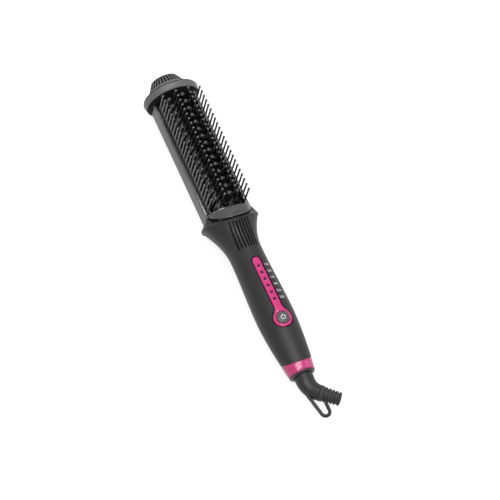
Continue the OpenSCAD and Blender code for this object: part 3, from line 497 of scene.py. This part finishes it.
# places along the shell with how far each is drawn in: a small round at the rim, then even rows to the
# tail, closer together where the grooves end
def shellRows():
    rows = [(28.6, 0.95), (28.62, 0.6), (28.55, 0.3), (28.3, 0.08), (27.95, 0.0)]
    count = shell["along"] - len(rows) - 13
    even = [27.6 + (handle["endY"] - 27.6) * (i / (count - 1)) ** 1.08 for i in range(count)]
    steps = [k * 0.33 for k in range(-1, 6)]
    tops = [shell["grooveTo"] - step for step in steps]
    ends = [shell["grooveFrom"] + step for step in steps]
    ends += [y + lean(y + 4) * frontHeight(0, y) for y in tops]
    return rows + [(y, 0.0) for y in sorted(even + ends, reverse=True)]


# the share of its full depth that a groove has at a place along the brush
def grooveShare(y):
    reach = min(y - shell["grooveFrom"], shell["grooveTo"] - y)
    return max(0.0, min(1.0, reach / shell["grooveEnd"])) ** 0.5


# angles and depths of the columns across a half shell; the front one has columns for each groove
def shellColumns(y, grooved):
    if not grooved:
        return [(math.pi * (1 - i / shell["across"]), 0.0) for i in range(shell["across"] + 1)]
    middle = [((i - (shell["grooves"] - 1) / 2) * shell["groovePitch"] + d, share)
              for i in range(shell["grooves"]) for d, share in grooveSection]
    edge = math.acos(min(1, (middle[-1][0] + 0.6) / along(y, 0)) ** (squareness(y) / 2))
    left = [(math.pi - edge * i / (shell["flank"] - 1), 0.0) for i in range(shell["flank"])]
    rightFlank = [(math.pi - a, 0.0) for a, _ in reversed(left)]
    half, power = along(y, 0), squareness(y) / 2
    return left + [(math.acos(signedPower(x / half, power)), share) for x, share in middle] + rightFlank


def halfShell(name, back=False):
    rows = shellRows()
    columns = [shellColumns(y, not back) for y, _ in rows]
    across = len(columns[0]) - 1

    def rule(u, v):
        row = round((1 - v) * (len(rows) - 1))
        y, inset = rows[row]
        angle, share = columns[row][round(u * across)]
        if share:
            inset += share * shell["grooveDepth"] * grooveShare(skin(y, angle)[1])
        return skin(y, math.pi + angle if back else angle, inset)
    obj = sheeted(name, across, len(rows) - 1, rule)
    obj.data.materials.append(materials["handle_plastic"])
    obj.data.materials.append(materials["near_black_and_painted_shade"])
    pitch = shell["groovePitch"]
    # the faces in each groove, from its left wall across its floor, get the near-black finish as painted
    # shade; the right edge keeps the handle's finish
    for p in obj.data.polygons:
        x, y = p.center.x, p.center.y
        nearest = (x + pitch / 2) % pitch - pitch / 2
        inGroove = abs(x) < (shell["grooves"] / 2) * pitch and -0.8 < nearest < 0.5
        inGroove = inGroove and shell["grooveFrom"] + 0.4 < y < shell["grooveTo"] - 0.4
        p.material_index = int(inGroove and not back)
    return applied(obj, "SOLIDIFY", thickness=handle["wall"], offset=-1.0, use_even_offset=False)


panel = {"stripHalf": 3.3, "stripTop": -14.3, "ringRadius": 8.0, "buttonY": -72.9, "blend": 7.0,
         "buttonHole": 5.8, "dotHole": 1.4, "dots": 6, "dotY": -22.8, "dotPitch": 6.48}


def arc(cx, cy, r, start, end, steps):
    return [(cx + r * math.cos(math.radians(start + (end - start) * i / steps)),
             cy + r * math.sin(math.radians(start + (end - start) * i / steps))) for i in range(steps + 1)]


# the lollipop outline of the pink inlay, grown by extra
def panelOutline(extra, z):
    w, r, blend = panel["stripHalf"] + extra, panel["ringRadius"] + extra, panel["blend"]
    cx = w + blend
    cy = math.sqrt((r + blend) ** 2 - cx * cx)
    swing = math.degrees(math.atan2(cy, cx))
    points = arc(0, panel["stripTop"] + extra - w, w, 0, 180, 20)
    points += arc(-cx, panel["buttonY"] + cy, blend, 0, -swing, 8)
    points += arc(0, panel["buttonY"], r, 180 - swing, 360 + swing, 48)[1:-1]
    points += arc(cx, panel["buttonY"] + cy, blend, 180 + swing, 180, 8)
    return [(x, y, z) for x, y in points]


frontShell = halfShell("frontShell")
cutBy(frontShell, drawnOut("panelCut", panelOutline(shell["panelGap"], 7), (0, 0, 20)))
settled(frontShell, "handle_plastic", "brush", ["handle_front_shell"], angle=28)

screwWell = {"radius": 2.5, "handle": ((-10.5, 14, -16.2), (10.5, 14, -16.2), (0, -90, -17.2)),
             "head": ((-8, 48, -20.7), (8, 48, -20.7))}
backShell = halfShell("backShell", back=True)
for place in screwWell["handle"]:
    bpy.ops.mesh.primitive_cylinder_add(vertices=40, radius=screwWell["radius"], depth=12, location=place)
    cutBy(backShell, named("screwWell"))
settled(backShell, "handle_plastic", "brush", ["handle_back_shell"], angle=28)
print("handle shells made")

# pink inlay, its dots, button and marks
inlay = drawnOut("pinkInlay", panelOutline(0, -2.6), (0, 0, 2.75))
holes = [(panel["buttonHole"], panel["buttonY"], 64)]
holes += [(panel["dotHole"], panel["dotY"] - i * panel["dotPitch"], 24) for i in range(panel["dots"])]
for radius, y, corners in holes:
    bpy.ops.mesh.primitive_cylinder_add(vertices=corners, radius=radius, depth=12, location=(0, y, 0))
    cutBy(inlay, named("hole"))
rounded(inlay, 0.28, 3, 50)
draped(inlay, 0.9, 3.0)
settled(inlay, "pink_plastic", "brush", ["control_panel"], angle=40)

button = {"radius": 5.4, "collar": 6.3, "foot": 10.4, "collarTop": 11.4, "top": 17.3}
buttonTop = spun("buttonTop", [
    (0, button["foot"]), (button["collar"], button["foot"]), (button["collar"], button["collarTop"]),
    (button["radius"], button["collarTop"]), (button["radius"], 16.45), (5.32, 16.75), (5.1, 16.98),
    (4.8, 17.08), (3.6, 17.2), (2.0, 17.28), (0, button["top"])], 64)
for v in buttonTop.data.vertices:
    v.co = Vector((v.co.x, -v.co.z + panel["buttonY"], v.co.y))
settled(buttonTop, "button_plastic", "button", ["power_button"], angle=40)

# the power mark: a broken ring and a bar, printed
mark = {"radius": 1.9, "stroke": 0.26, "gap": 32.0, "flat": 0.4}
bpy.ops.mesh.primitive_torus_add(major_segments=48, minor_segments=8, major_radius=mark["radius"],
                                 minor_radius=mark["stroke"])
powerMark = named("powerMark")
editing(powerMark)
bpy.ops.mesh.select_all(action="DESELECT")
doneEditing()
for p in powerMark.data.polygons:
    p.select = abs(math.degrees(math.atan2(p.center.x, p.center.y))) < mark["gap"]
editing(powerMark)
bpy.ops.mesh.delete(type="FACE")
doneEditing()
endsClosed(powerMark)
bpy.ops.mesh.primitive_cylinder_add(vertices=12, radius=mark["stroke"], depth=2.3, location=(0, 1.5, 0),
                                    rotation=(math.pi / 2, 0, 0))
markBar = named("markBar")
bpy.ops.object.transform_apply(location=True, rotation=True, scale=True)
rounded(markBar, 0.12, 2, 60)
powerMark = joined("powerMark", [powerMark, markBar])
for v in powerMark.data.vertices:
    v.co.z = v.co.z * mark["flat"] + button["top"] - 0.004 * (v.co.x ** 2 + v.co.y ** 2)
    v.co.y += panel["buttonY"]
settled(powerMark, "button_plastic", "button", finish="print_white", angle=60)
print("inlay and button made")

# temperature steps printed beside the dots
steps = {"numbers": (130, 150, 170, 190, 210, 230), "size": 3.0, "x": 5.2}
labels = []
for i, number in enumerate(steps["numbers"]):
    bpy.ops.object.text_add(location=(0, 0, 0))
    words = bpy.context.object
    words.data.body = str(number)
    words.data.size = steps["size"]
    words.data.extrude = 0.03
    words.data.align_y = "CENTER"
    bpy.ops.object.convert(target="MESH")
    label = named("stepMark")
    label.location = (steps["x"], panel["dotY"] - i * panel["dotPitch"], 0)
    bpy.ops.object.transform_apply(location=True, rotation=True, scale=True)
    labels.append(label)
numbers = joined("stepNumbers", labels)
for v in numbers.data.vertices:
    v.co.z += frontHeight(v.co.x, v.co.y) + 0.02
settled(numbers, "handle_plastic", "brush", finish="print_white", angle=60)

# tail: pink ring, black rim
ringOutline = [(9.7, -101.0), (9.7, -119.35)] + [(r, y) for r, y in (
    (11.15, -119.5), (11.4, -119.35), (11.5, -119.1))]
ringOutline += [(along(-119.0 + k * 1.5, 0) + 0.1, -119.0 + k * 1.5) for k in range(1, 13)]
tailRing = spun("tailRing", ringOutline + [(9.7, -101.0)], 96)
slope = Vector((0, 1, handle["ringLean"])).normalized()
sliced(tailRing, (0, handle["endY"] - 0.12, 0), slope)
rounded(tailRing, 0.3, 3, 40)
settled(tailRing, "pink_plastic", "brush", ["tail_ring"], angle=40)

tailCap = spun("tailCap", [
    (8.25, -118.9), (8.25, -121.0), (8.4, -121.3), (8.7, -121.4), (9.1, -121.4), (9.7, -121.3),
    (10.25, -121.02), (11.0, -120.55), (11.2, -120.3), (11.28, -120.0), (11.25, -119.6), (9.6, -119.55),
    (9.6, -118.9), (8.25, -118.9)], 96)
settled(tailCap, "black_plastic", "brush", ["tail_cap"], angle=40)
print("tail made")

# cord neck, boot and hanging loop
neck = {"radius": 8.1, "top": -118.9, "elbowY": -134.3, "collar": 6.95, "bendFrom": -126.5,
        "straight": 0.35, "bootStart": 8.0, "bootAngle": 52.0}
bootTurn = math.radians(neck["bootAngle"])
bootWay = Vector((math.sin(bootTurn), -math.cos(bootTurn), 0))


# the neck's centre line: straight down the axis, then a smooth bend to the boot's direction
def neckPath(t):
    straight = neck["straight"]
    if t < straight:
        return Vector((0, neck["top"] + (neck["bendFrom"] - neck["top"]) * t / straight, 0))
    s = (t - straight) / (1 - straight)
    a, b = Vector((0, neck["bendFrom"], 0)), Vector((0, neck["elbowY"], 0))
    c = b + bootWay * neck["bootStart"]
    return a * (1 - s) ** 2 + b * 2 * s * (1 - s) + c * s * s


def tubeRule(path, radius):
    def rule(u, v):
        p = path(v)
        ahead = (path(min(1, v + 0.005)) - path(max(0, v - 0.005))).normalized()
        sideways = Vector((-ahead.y, ahead.x, 0))
        r = radius(v)
        angle = 2 * math.pi * u
        return p + sideways * r * math.cos(angle) + Vector((0, 0, 1)) * r * math.sin(angle)
    return rule


def neckRadius(v):
    r = neck["radius"] + (neck["collar"] - neck["radius"]) * min(1, max(0, (v - 0.3) / 0.6))
    return r - (0.5 if v > 0.995 else 0.12 if v > 0.97 else 0)


neckTube = sheeted("cordNeck", 72, 48, tubeRule(neckPath, neckRadius), closed=True)
endsClosed(neckTube)
settled(neckTube, "neck_plastic", "cord_neck", ["swivel_neck"], angle=40)

boot = {"end": 26.6, "bore": 3.3, "ribs": 5, "ribFrom": 12.5, "ribPitch": 3.0, "ribWidth": 1.8}
start = neck["bootStart"]
bootOutline = [(boot["bore"], start), (6.6, start), (6.85, start + 0.25), (6.75, 11.2), (6.4, 11.8),
               (5.35, 12.0)]
for i in range(boot["ribs"]):
    low = boot["ribFrom"] + i * boot["ribPitch"]
    high = low + boot["ribWidth"]
    r = 6.4 - 0.15 * i
    core = 5.3 - 0.14 * i
    bootOutline += [(core, low), (r - 0.25, low + 0.02), (r, low + 0.25), (r - 0.05, high - 0.25),
                    (r - 0.3, high), (core - 0.05, high + 0.02)]
end = boot["end"]
bootOutline += [(4.5, end - 0.2), (4.35, end), (3.6, end), (boot["bore"], end - 0.3), (boot["bore"], start)]
bootPiece = spun("cordBoot", bootOutline, 64)
for v in bootPiece.data.vertices:
    x, s, z = v.co
    v.co = Vector((s * bootWay.x - x * bootWay.y, neck["elbowY"] + s * bootWay.y + x * bootWay.x, z))
editing(bootPiece)
bpy.ops.mesh.select_all(action="SELECT")
bpy.ops.mesh.normals_make_consistent(inside=False)
doneEditing()
settled(bootPiece, "boot_rubber", "cord_neck", ["strain_relief"], angle=35)

loop = {"bar": 1.5, "start": Vector((-6.2, -127.0, 0)), "low": Vector((0.6, -156.95, 0)), "bend": 3.8,
        "rise": 10.0}
fall = loop["low"] - loop["start"]
loopLean = math.atan2(fall.x, -fall.y)
centre = loop["low"] + Vector((math.cos(loopLean), math.sin(loopLean), 0)) * loop["bend"]
sweep = math.pi - loopLean
lengths = (fall.length, loop["bend"] * sweep, loop["rise"])


def loopPath(t):
    d = max(0.0, min(1.0, t)) * sum(lengths)
    if d < lengths[0]:
        return loop["start"] + fall * (d / lengths[0])
    d -= lengths[0]
    if d < lengths[1]:
        q = loopLean + d / loop["bend"]
        return centre - Vector((math.cos(q), math.sin(q), 0)) * loop["bend"]
    return centre + Vector((loop["bend"], d - lengths[1], 0))


def loopRadius(v):
    return loop["bar"] - (0.6 if v < 0.004 else 0)


hangingLoop = sheeted("hangingLoop", 28, 90, tubeRule(loopPath, loopRadius), closed=True)
endsClosed(hangingLoop)
settled(hangingLoop, "neck_plastic", "cord_neck", ["hanging_loop"], angle=40)
print("cord neck, boot and loop made")

# head: back, rails, plate, pad, pins, teeth
head = {"low": 36.7, "high": 156.6, "halfWidth": 20.8, "cornerR": 14.0, "cornerZ": -6.0, "wall": 2.2}
rails = {"low": -7.0, "high": 5.8, "thick": 1.9, "footY": 40.1, "footHigh": 6.8}


def troughSide(inset):
    r = head["cornerR"] - inset
    cx = head["halfWidth"] - head["cornerR"]
    points = [(cx + r, rails["low"])]
    points += [(cx + x, head["cornerZ"] + z) for x, z in arc(0, 0, r, -5, -90, 20)]
    return points


outer = troughSide(0)
inner = troughSide(head["wall"])
section = outer + [(-x, z) for x, z in reversed(outer)]
section += [(-x, z) for x, z in inner] + list(reversed(inner))
headWay = (0, head["high"] - head["low"], 0)
headBack = drawnOut("headBack", [(x, head["low"], z) for x, z in section], headWay)
for place in screwWell["head"]:
    bpy.ops.mesh.primitive_cylinder_add(vertices=40, radius=screwWell["radius"], depth=4, location=place)
    cutBy(headBack, named("screwWell"))
rounded(headBack, 0.3, 2, 50)
settled(headBack, "head_plastic", "brush", ["head_back_shell"], angle=35)

railSide = [(head["low"], rails["low"]), (head["high"], rails["low"]), (head["high"], rails["high"]),
            (rails["footY"], rails["high"]), (rails["footY"], rails["footHigh"]),
            (head["low"], rails["footHigh"])]
for name, node, way in (("rightRail", "right_rail", 1), ("leftRail", "left_rail", -1)):
    face = [(way * head["halfWidth"], y, z) for y, z in railSide]
    rail = drawnOut(name, face, (-way * rails["thick"], 0, 0))
    rounded(rail, 0.5, 4, 30)
    settled(rail, "rail_plastic", "brush", [node], angle=35)

pad = {"radius": 32.7, "crown": 8.4, "thick": 2.0, "halfWidth": 18.8, "low": 40.2, "high": 156.6,
       "lip": (17.9, 20.4), "lipZ": (5.9, 6.5), "window": (5.0, 5.6), "steam": (42.2, 62.0),
       "pinRows": 23, "pinPitch": 4.91, "pinFirst": 42.6, "pinX": (5.8, 17.5), "pinTop": (32.4, 28.8),
       "teeth": 15, "toothPitch": 7.4, "toothR": 2.1, "toothX": 11.8, "toothTop": (28.2, 25.0),
       "toothMid": 96.6}


def padHeight(x):
    return pad["crown"] - pad["radius"] + math.sqrt(pad["radius"] ** 2 - x * x)


toothY = [pad["toothMid"] + (i - (pad["teeth"] - 1) / 2) * pad["toothPitch"] for i in range(pad["teeth"])]
bpy.ops.mesh.primitive_plane_add(size=1, location=(0, (pad["low"] + pad["high"]) / 2, 0))
padPiece = named("pinPad")
padPiece.scale = (2 * pad["halfWidth"], pad["high"] - pad["low"], 1)
bpy.ops.object.transform_apply(location=True, rotation=True, scale=True)
sides = (-1, 1)
halfWindow = [size / 2 for size in pad["window"]]
rowsX = (0, pad["toothX"])
cutsX = {round(s * (row + e * halfWindow[0]), 3) for s in sides for row in rowsX for e in sides}
cutsX = sorted(cutsX | {s * v for s in sides for v in (4.5, 7.0, 11.8, 15.6, 17.0)} | {0.0})
cutsY = sorted({round(y + e * halfWindow[1], 3) for y in toothY for e in sides} | set(pad["steam"]))
editing(padPiece)
for x in cutsX:
    bpy.ops.mesh.select_all(action="SELECT")
    bpy.ops.mesh.bisect(plane_co=(x, 0, 0), plane_no=(1, 0, 0))
for y in cutsY:
    bpy.ops.mesh.select_all(action="SELECT")
    bpy.ops.mesh.bisect(plane_co=(0, y, 0), plane_no=(0, 1, 0))
doneEditing()
for p in padPiece.data.polygons:
    x, y = p.center.x, p.center.y
    inRow = any(abs(x - row * pad["toothX"]) < halfWindow[0] for row in (-1, 0, 1))
    inWindow = any(abs(y - t) < halfWindow[1] for t in toothY) or pad["steam"][0] < y < pad["steam"][1]
    p.select = inRow and inWindow
editing(padPiece)
bpy.ops.mesh.select_mode(type="FACE")
bpy.ops.object.mode_set(mode="OBJECT")
editing(padPiece)
bpy.ops.mesh.delete(type="FACE")
doneEditing()
for v in padPiece.data.vertices:
    v.co.z = padHeight(v.co.x)
applied(padPiece, "SOLIDIFY", thickness=pad["thick"], offset=-1.0)
rounded(padPiece, 0.35, 2, 50)

# a wall along each side of the pad carries a lip that covers the rail's edge
lipSection = [(pad["lip"][0], 2.0), (pad["halfWidth"], 2.0), (pad["halfWidth"], pad["lipZ"][0]),
              (pad["lip"][1], pad["lipZ"][0]), (pad["lip"][1], pad["lipZ"][1]),
              (pad["lip"][0], pad["lipZ"][1])]
padWay = (0, pad["high"] - pad["low"], 0)
lips = [drawnOut("padLip", [(way * x, pad["low"], z) for x, z in lipSection], padWay) for way in sides]
for lip in lips:
    rounded(lip, 0.15, 2, 50)

pin = {"foot": 1.0, "waist": 0.82, "ball": 1.2, "sides": 10}


def onePin(name, x, top):
    foot = padHeight(x) - 0.5
    ball = pin["ball"]
    outline = [(0, foot), (pin["foot"], foot), (pin["foot"] * 0.88, foot + 1.2), (pin["waist"], top - 2.5)]
    outline += [(ball * math.cos(math.radians(a)), top - ball + ball * math.sin(math.radians(a)))
                for a in (-50, -22, 0, 25, 50, 72)]
    obj = spun(name, outline + [(0, top)], pin["sides"])
    for v in obj.data.vertices:
        v.co = Vector((v.co.x, -v.co.z, v.co.y))
    return obj


def copiesAt(obj, places):
    made = []
    for x, y in places:
        twin = obj.copy()
        twin.data = obj.data.copy()
        bpy.context.collection.objects.link(twin)
        for v in twin.data.vertices:
            v.co += Vector((x, y, 0))
        made.append(twin)
    bpy.data.objects.remove(obj)
    return made


pinY = [pad["pinFirst"] + i * pad["pinPitch"] for i in range(pad["pinRows"])]
pins = []
for x, top in zip(pad["pinX"], pad["pinTop"]):
    for way in sides:
        pins += copiesAt(onePin("pin", x, top), [(way * x, y) for y in pinY])
bristles = joined("pinPad", [padPiece] + lips + pins)
settled(bristles, "pin_nylon", "brush", ["bristle_pad"], angle=45)

plateR = pad["radius"] - pad["thick"] - 0.3
plateHalf, plateLow = 17, -2
plateX = [plateHalf * math.sin(math.pi / 2 * (1 - i / 10)) for i in range(21)]
middleZ = pad["crown"] - pad["radius"]
plateFace = [(x, pad["low"], middleZ + math.sqrt(plateR ** 2 - x ** 2)) for x in plateX]
plateFace += [(-plateHalf, pad["low"], plateLow), (plateHalf, pad["low"], plateLow)]
plate = drawnOut("heatedPlate", plateFace, padWay)


def oneTooth(name, top):
    r = pad["toothR"]
    outline = [(0, 0.0), (r, 0.0), (r, 6.0), (r * 0.98, top - r * 1.05)]
    angles = [math.radians(a) for a in (12, 26, 40, 54, 67, 80)]
    outline += [(r * math.cos(a), top - r + r * math.sin(a)) for a in angles]
    obj = spun(name, outline + [(0, top)], 20)
    for v in obj.data.vertices:
        v.co = Vector((v.co.x, -v.co.z, v.co.y))
    return obj


teeth = copiesAt(oneTooth("tooth", pad["toothTop"][0]), [(0, y) for y in toothY])
besides = [(way * pad["toothX"], y) for way in sides for y in toothY]
teeth += copiesAt(oneTooth("tooth", pad["toothTop"][1]), besides)
heated = joined("heatedPlate", [plate] + teeth)
settled(heated, "heated_coating", "brush", ["heating_plate"], angle=40)
print("head, pins and teeth made")

# tip: flange and ribbed cap
tip = {"discY": 163.0, "discZ": -1.5, "tilt": 3.0, "topH": 6.0, "capFoot": 19.7, "capTop": 11.9,
       "end": 182.2, "ribs": 36, "ribFrom": 2.6, "ribDepth": 0.9, "ribTo": 18.4, "ribInner": 11.0,
       "low": 156.7, "underside": -3.3, "line": (2.4, 3.55)}


# what is modelled round the disc's own axis, with heights from the disc's middle, goes to its place
def onDisc(obj):
    a = math.radians(tip["tilt"])
    for v in obj.data.vertices:
        x, y, z = v.co
        v.co = Vector((x, tip["discY"] + y * math.cos(a) - z * math.sin(a),
                       tip["discZ"] + y * math.sin(a) + z * math.cos(a)))
    return obj


flangeOutline = [(0, -5.7), (21.2, -5.7), (24.2, -3.55), (24.6, -3.2), (25.25, -0.6), (25.75, 1.6),
                 (25.95, 2.2), (25.9, 2.4), (25.35, 2.6), (25.2, 3.3), (25.3, 3.5), (25.1, 3.75),
                 (20.9, 5.85), (20.5, 6.0), (13.3, 6.0), (13.1, 5.8), (13.1, -4.2), (0, -4.2)]
flange = spun("tipFlange", flangeOutline, 128)
flange.data.materials.append(materials["head_plastic"])
flange.data.materials.append(materials["near_black_and_painted_shade"])
# the line groove round the rim gets the near-black finish as painted shade; every face below the underside
# height gets the same near-black finish
for p in flange.data.polygons:
    inLine = tip["line"][0] < p.center.y < tip["line"][1]
    p.material_index = int(p.center.y < tip["underside"] or inLine)
onDisc(flange)
sliced(flange, (0, tip["low"], 0), (0, -1, 0))
sliced(flange, (0, 0, handle["rest"]), (0, 0, -1))
settled(flange, "head_plastic", "brush", ["tip_flange"], angle=35)


# the cap's side as (radius, height, share of the ribs' depth): a short plain foot, then a cone with ribs
# and a flat top
def capLine():
    tilt = math.radians(tip["tilt"])
    low = tip["topH"] + 0.1
    high = (tip["end"] - tip["discY"] - tip["capTop"] * math.sin(tilt)) / math.cos(tilt)
    foot, top = tip["capFoot"], tip["capTop"]
    edge = top + 0.5

    def slope(h):
        return foot - (foot - edge) * (h - low) / (high - low)
    ribs = low + tip["ribFrom"]
    line = [(foot - 3, low, 0), (foot - 0.35, low, 0), (foot, low + 0.35, 0)]
    line += [(slope(h), h, 0) for h in (ribs - 1.4, ribs - 0.25, ribs)]
    line += [(slope(ribs + 0.25), ribs + 0.25, 0.7)]
    line += [(slope(h), h, 1) for h in (ribs + 0.6, (ribs + high) / 2, high - 0.9)]
    line += [(slope(high - 0.45), high - 0.35, 1), (edge - 0.45, high - 0.08, 1), (top - 0.6, high, 0.8),
             (top - 1.3, high, 0), (6, high, 0), (0, high, 0)]
    return line


capSide = capLine()


def capRule(u, v):
    r, h, share = capSide[round(v * (len(capSide) - 1))]
    wave = (u * tip["ribs"]) % 1
    groove = min(1.0, max(0.0, 1.9 - abs(wave - 0.5) / 0.15))
    r -= share * tip["ribDepth"] * groove
    angle = 2 * math.pi * u
    return (r * math.cos(angle), h, r * math.sin(angle))


cap = endsClosed(sheeted("tipCap", tip["ribs"] * 10, 15, capRule, closed=True))
cap.data.materials.append(materials["tip_plastic"])
cap.data.materials.append(materials["near_black_and_painted_shade"])
# the grooves between the ribs on the cone get the near-black finish as painted shade
for p in cap.data.polygons:
    x, h, z = p.center
    wave = (math.degrees(math.atan2(z, x)) / 360 * tip["ribs"]) % 1
    onSide = tip["topH"] + tip["ribFrom"] < h < tip["ribTo"] and math.hypot(x, z) > tip["ribInner"]
    p.material_index = int(onSide and abs(wave - 0.5) < 0.28)
onDisc(cap)
settled(cap, "tip_plastic", "brush", ["tip_cap"], angle=40)
print("tip made")

# water tank with its crescent face
tank = {"faceR": 19.4, "faceZ": 4.6, "backZ": 7.2, "upper": (41.4, 0.353), "lower": (41.2, 0.74),
        "boxX": 13.0, "boxY": (27.3, 36.7), "boxZ": (-9.0, 15.0), "notch": (25.3, 2.6, 2.4)}
bpy.ops.mesh.primitive_cylinder_add(vertices=128, radius=tank["faceR"], depth=40,
                                    location=(0, 30, tank["faceZ"]), rotation=(math.pi / 2, 0, 0))
crescent = named("waterTank")
bpy.ops.object.transform_apply(location=True, rotation=True, scale=True)
sliced(crescent, (0, 0, tank["backZ"]), (0, 0, -1))
upY, upDrop = tank["upper"]
lowY, lowDrop = tank["lower"]
sliced(crescent, (0, upY, 0), Vector((0, 1, upDrop)).normalized())
sliced(crescent, (0, lowY, 0), Vector((0, -1, -lowDrop)).normalized())
rounded(crescent, 0.45, 3, 32)
bpy.ops.mesh.primitive_uv_sphere_add(segments=32, ring_count=16, radius=tank["notch"][1],
                                     location=(0, tank["notch"][0], tank["faceZ"] + tank["faceR"] + 0.9))
thumb = named("thumbNotch")
bpy.ops.object.transform_apply(location=True, rotation=True, scale=True)
for v in thumb.data.vertices:
    v.co.x += math.copysign(tank["notch"][2], v.co.x) if abs(v.co.x) > 1e-6 else 0
cutBy(crescent, thumb)
bpy.ops.mesh.primitive_cube_add(size=1, location=(0, sum(tank["boxY"]) / 2, sum(tank["boxZ"]) / 2))
tankBox = named("tankBox")
tankBox.scale = (2 * tank["boxX"], tank["boxY"][1] - tank["boxY"][0], tank["boxZ"][1] - tank["boxZ"][0])
bpy.ops.object.transform_apply(location=True, rotation=True, scale=True)
rounded(tankBox, 0.8, 3, 30)
tankPiece = joined("waterTank", [crescent, tankBox])
# the tank is rail plastic, rendered with a darker copy of that finish as painted shade on its upturned face
settled(tankPiece, "rail_plastic", "tank", ["water_tank"], angle=35, finish="rail_plastic_painted_shade")

# sloped shoulder between rim and head
shoulder = {"around": 120, "footX": 21.8, "front": 14.5, "back": 20.7, "power": 2.9, "low": 29.3,
            "slope": 1.9, "slopeFrom": 6.2, "bay": (0, 36.1, 22.3), "baySize": (30.2, 18.0, 75.4)}


def foot(angle, inset=0.0, drop=0.0):
    c, s = math.cos(angle), math.sin(angle)
    e = 2 / shoulder["power"]
    x = (shoulder["footX"] - inset) * signedPower(c, e)
    z = ((shoulder["front"] if s > 0 else shoulder["back"]) - inset) * signedPower(s, e)
    y = max(shoulder["low"], head["low"] - 0.1 - shoulder["slope"] * max(0, z - shoulder["slopeFrom"]))
    return Vector((x, y - drop, z))


def rimPoint(angle, inset, drop):
    return Vector(skin(handle["rimY"], angle, inset)) - Vector((0, drop, 0))


def shoulderRule(u, v):
    angle = 2 * math.pi * u
    edge, base = foot(angle), rimPoint(angle, 0.62, -0.02)
    line = [foot(angle, 12), foot(angle, 6), foot(angle, 0.6), edge.lerp(base, 0.03)]
    for t in (0.12, 0.3, 0.5, 0.7, 0.86, 0.95):
        line.append(edge.lerp(base, t) + Vector((0, 0.25 * math.sin(math.pi * t), 0)))
    line += [base] + [rimPoint(angle, *place) for place in ((2.3, -0.02), (2.3, 2.6), (3.5, 2.6))]
    line += [foot(angle, 2, 2), foot(angle, 12, 2)]
    return line[round(v * (len(line) - 1))]


shoulderPiece = sheeted("shoulderRing", shoulder["around"], 15, shoulderRule, closed=True)
endsClosed(shoulderPiece)
bpy.ops.mesh.primitive_cube_add(size=1, location=shoulder["bay"])
bayCut = named("bayCut")
bayCut.scale = shoulder["baySize"]
bpy.ops.object.transform_apply(location=True, rotation=True, scale=True)
cutBy(shoulderPiece, bayCut)
settled(shoulderPiece, "handle_plastic", "brush", ["shoulder_ring"], angle=30)
print("tank and shoulder made")

# floor, backdrop and light
light = {"world": 0.26, "floor": 0.45, "glow": 0.75, "key": 10.0, "side": 1.4, "rim": 5.5}


# the rays that see the plain pale surroundings: the camera's own, and those in reflections and in clear
# pieces
def seenRays(tree):
    rays = tree.nodes.new("ShaderNodeLightPath")
    reflected = math2(tree, "MAXIMUM", rays.outputs["Is Glossy Ray"], rays.outputs["Is Transmission Ray"])
    return math2(tree, "MAXIMUM", rays.outputs["Is Camera Ray"], reflected)


bpy.ops.mesh.primitive_plane_add(size=12, location=(0, 0, 0))
floor = named("floor")
floorMaterial = bpy.data.materials.new("floorPaper")
floorMaterial.use_nodes = True
tree = floorMaterial.node_tree
shader = tree.nodes["Principled BSDF"]
shader.inputs["Base Color"].default_value = (light["floor"], light["floor"], light["floor"], 1)
shader.inputs["Roughness"].default_value = 0.9
shader.inputs["Specular IOR Level"].default_value = 0.0
shader.inputs["Emission Color"].default_value = (1, 1, 1, 1)
glow = math2(tree, "MULTIPLY", seenRays(tree), light["glow"])
tree.links.new(glow, shader.inputs["Emission Strength"])
floor.data.materials.append(floorMaterial)

world = bpy.data.worlds.new("studio")
bpy.context.scene.world = world
world.use_nodes = True
tree = world.node_tree
sky = tree.nodes["Background"]
sky.inputs["Color"].default_value = (1, 1, 1, 1)
tree.links.new(math2(tree, "MAXIMUM", seenRays(tree), light["world"]), sky.inputs["Strength"])


def softbox(name, place, size, power):
    bpy.ops.object.light_add(type="AREA", location=place)
    lamp = bpy.context.object
    lamp.name = name
    lamp.data.shape = "RECTANGLE"
    lamp.data.size, lamp.data.size_y = size
    lamp.data.energy = power
    lamp.rotation_euler = (Vector((0, 0, 0.02)) - Vector(place)).to_track_quat("-Z", "Y").to_euler()
    return lamp


softbox("keyLight", (-0.26, -0.1, 1.08), (0.3, 1.2), light["key"])
softbox("sideLight", (0.95, -0.15, 0.6), (0.35, 1.0), light["side"])
softbox("rimLight", (0.1, 1.0, 0.6), (0.9, 0.3), light["rim"])

bpy.context.scene.view_settings.view_transform = "Standard"
print("scene ready")
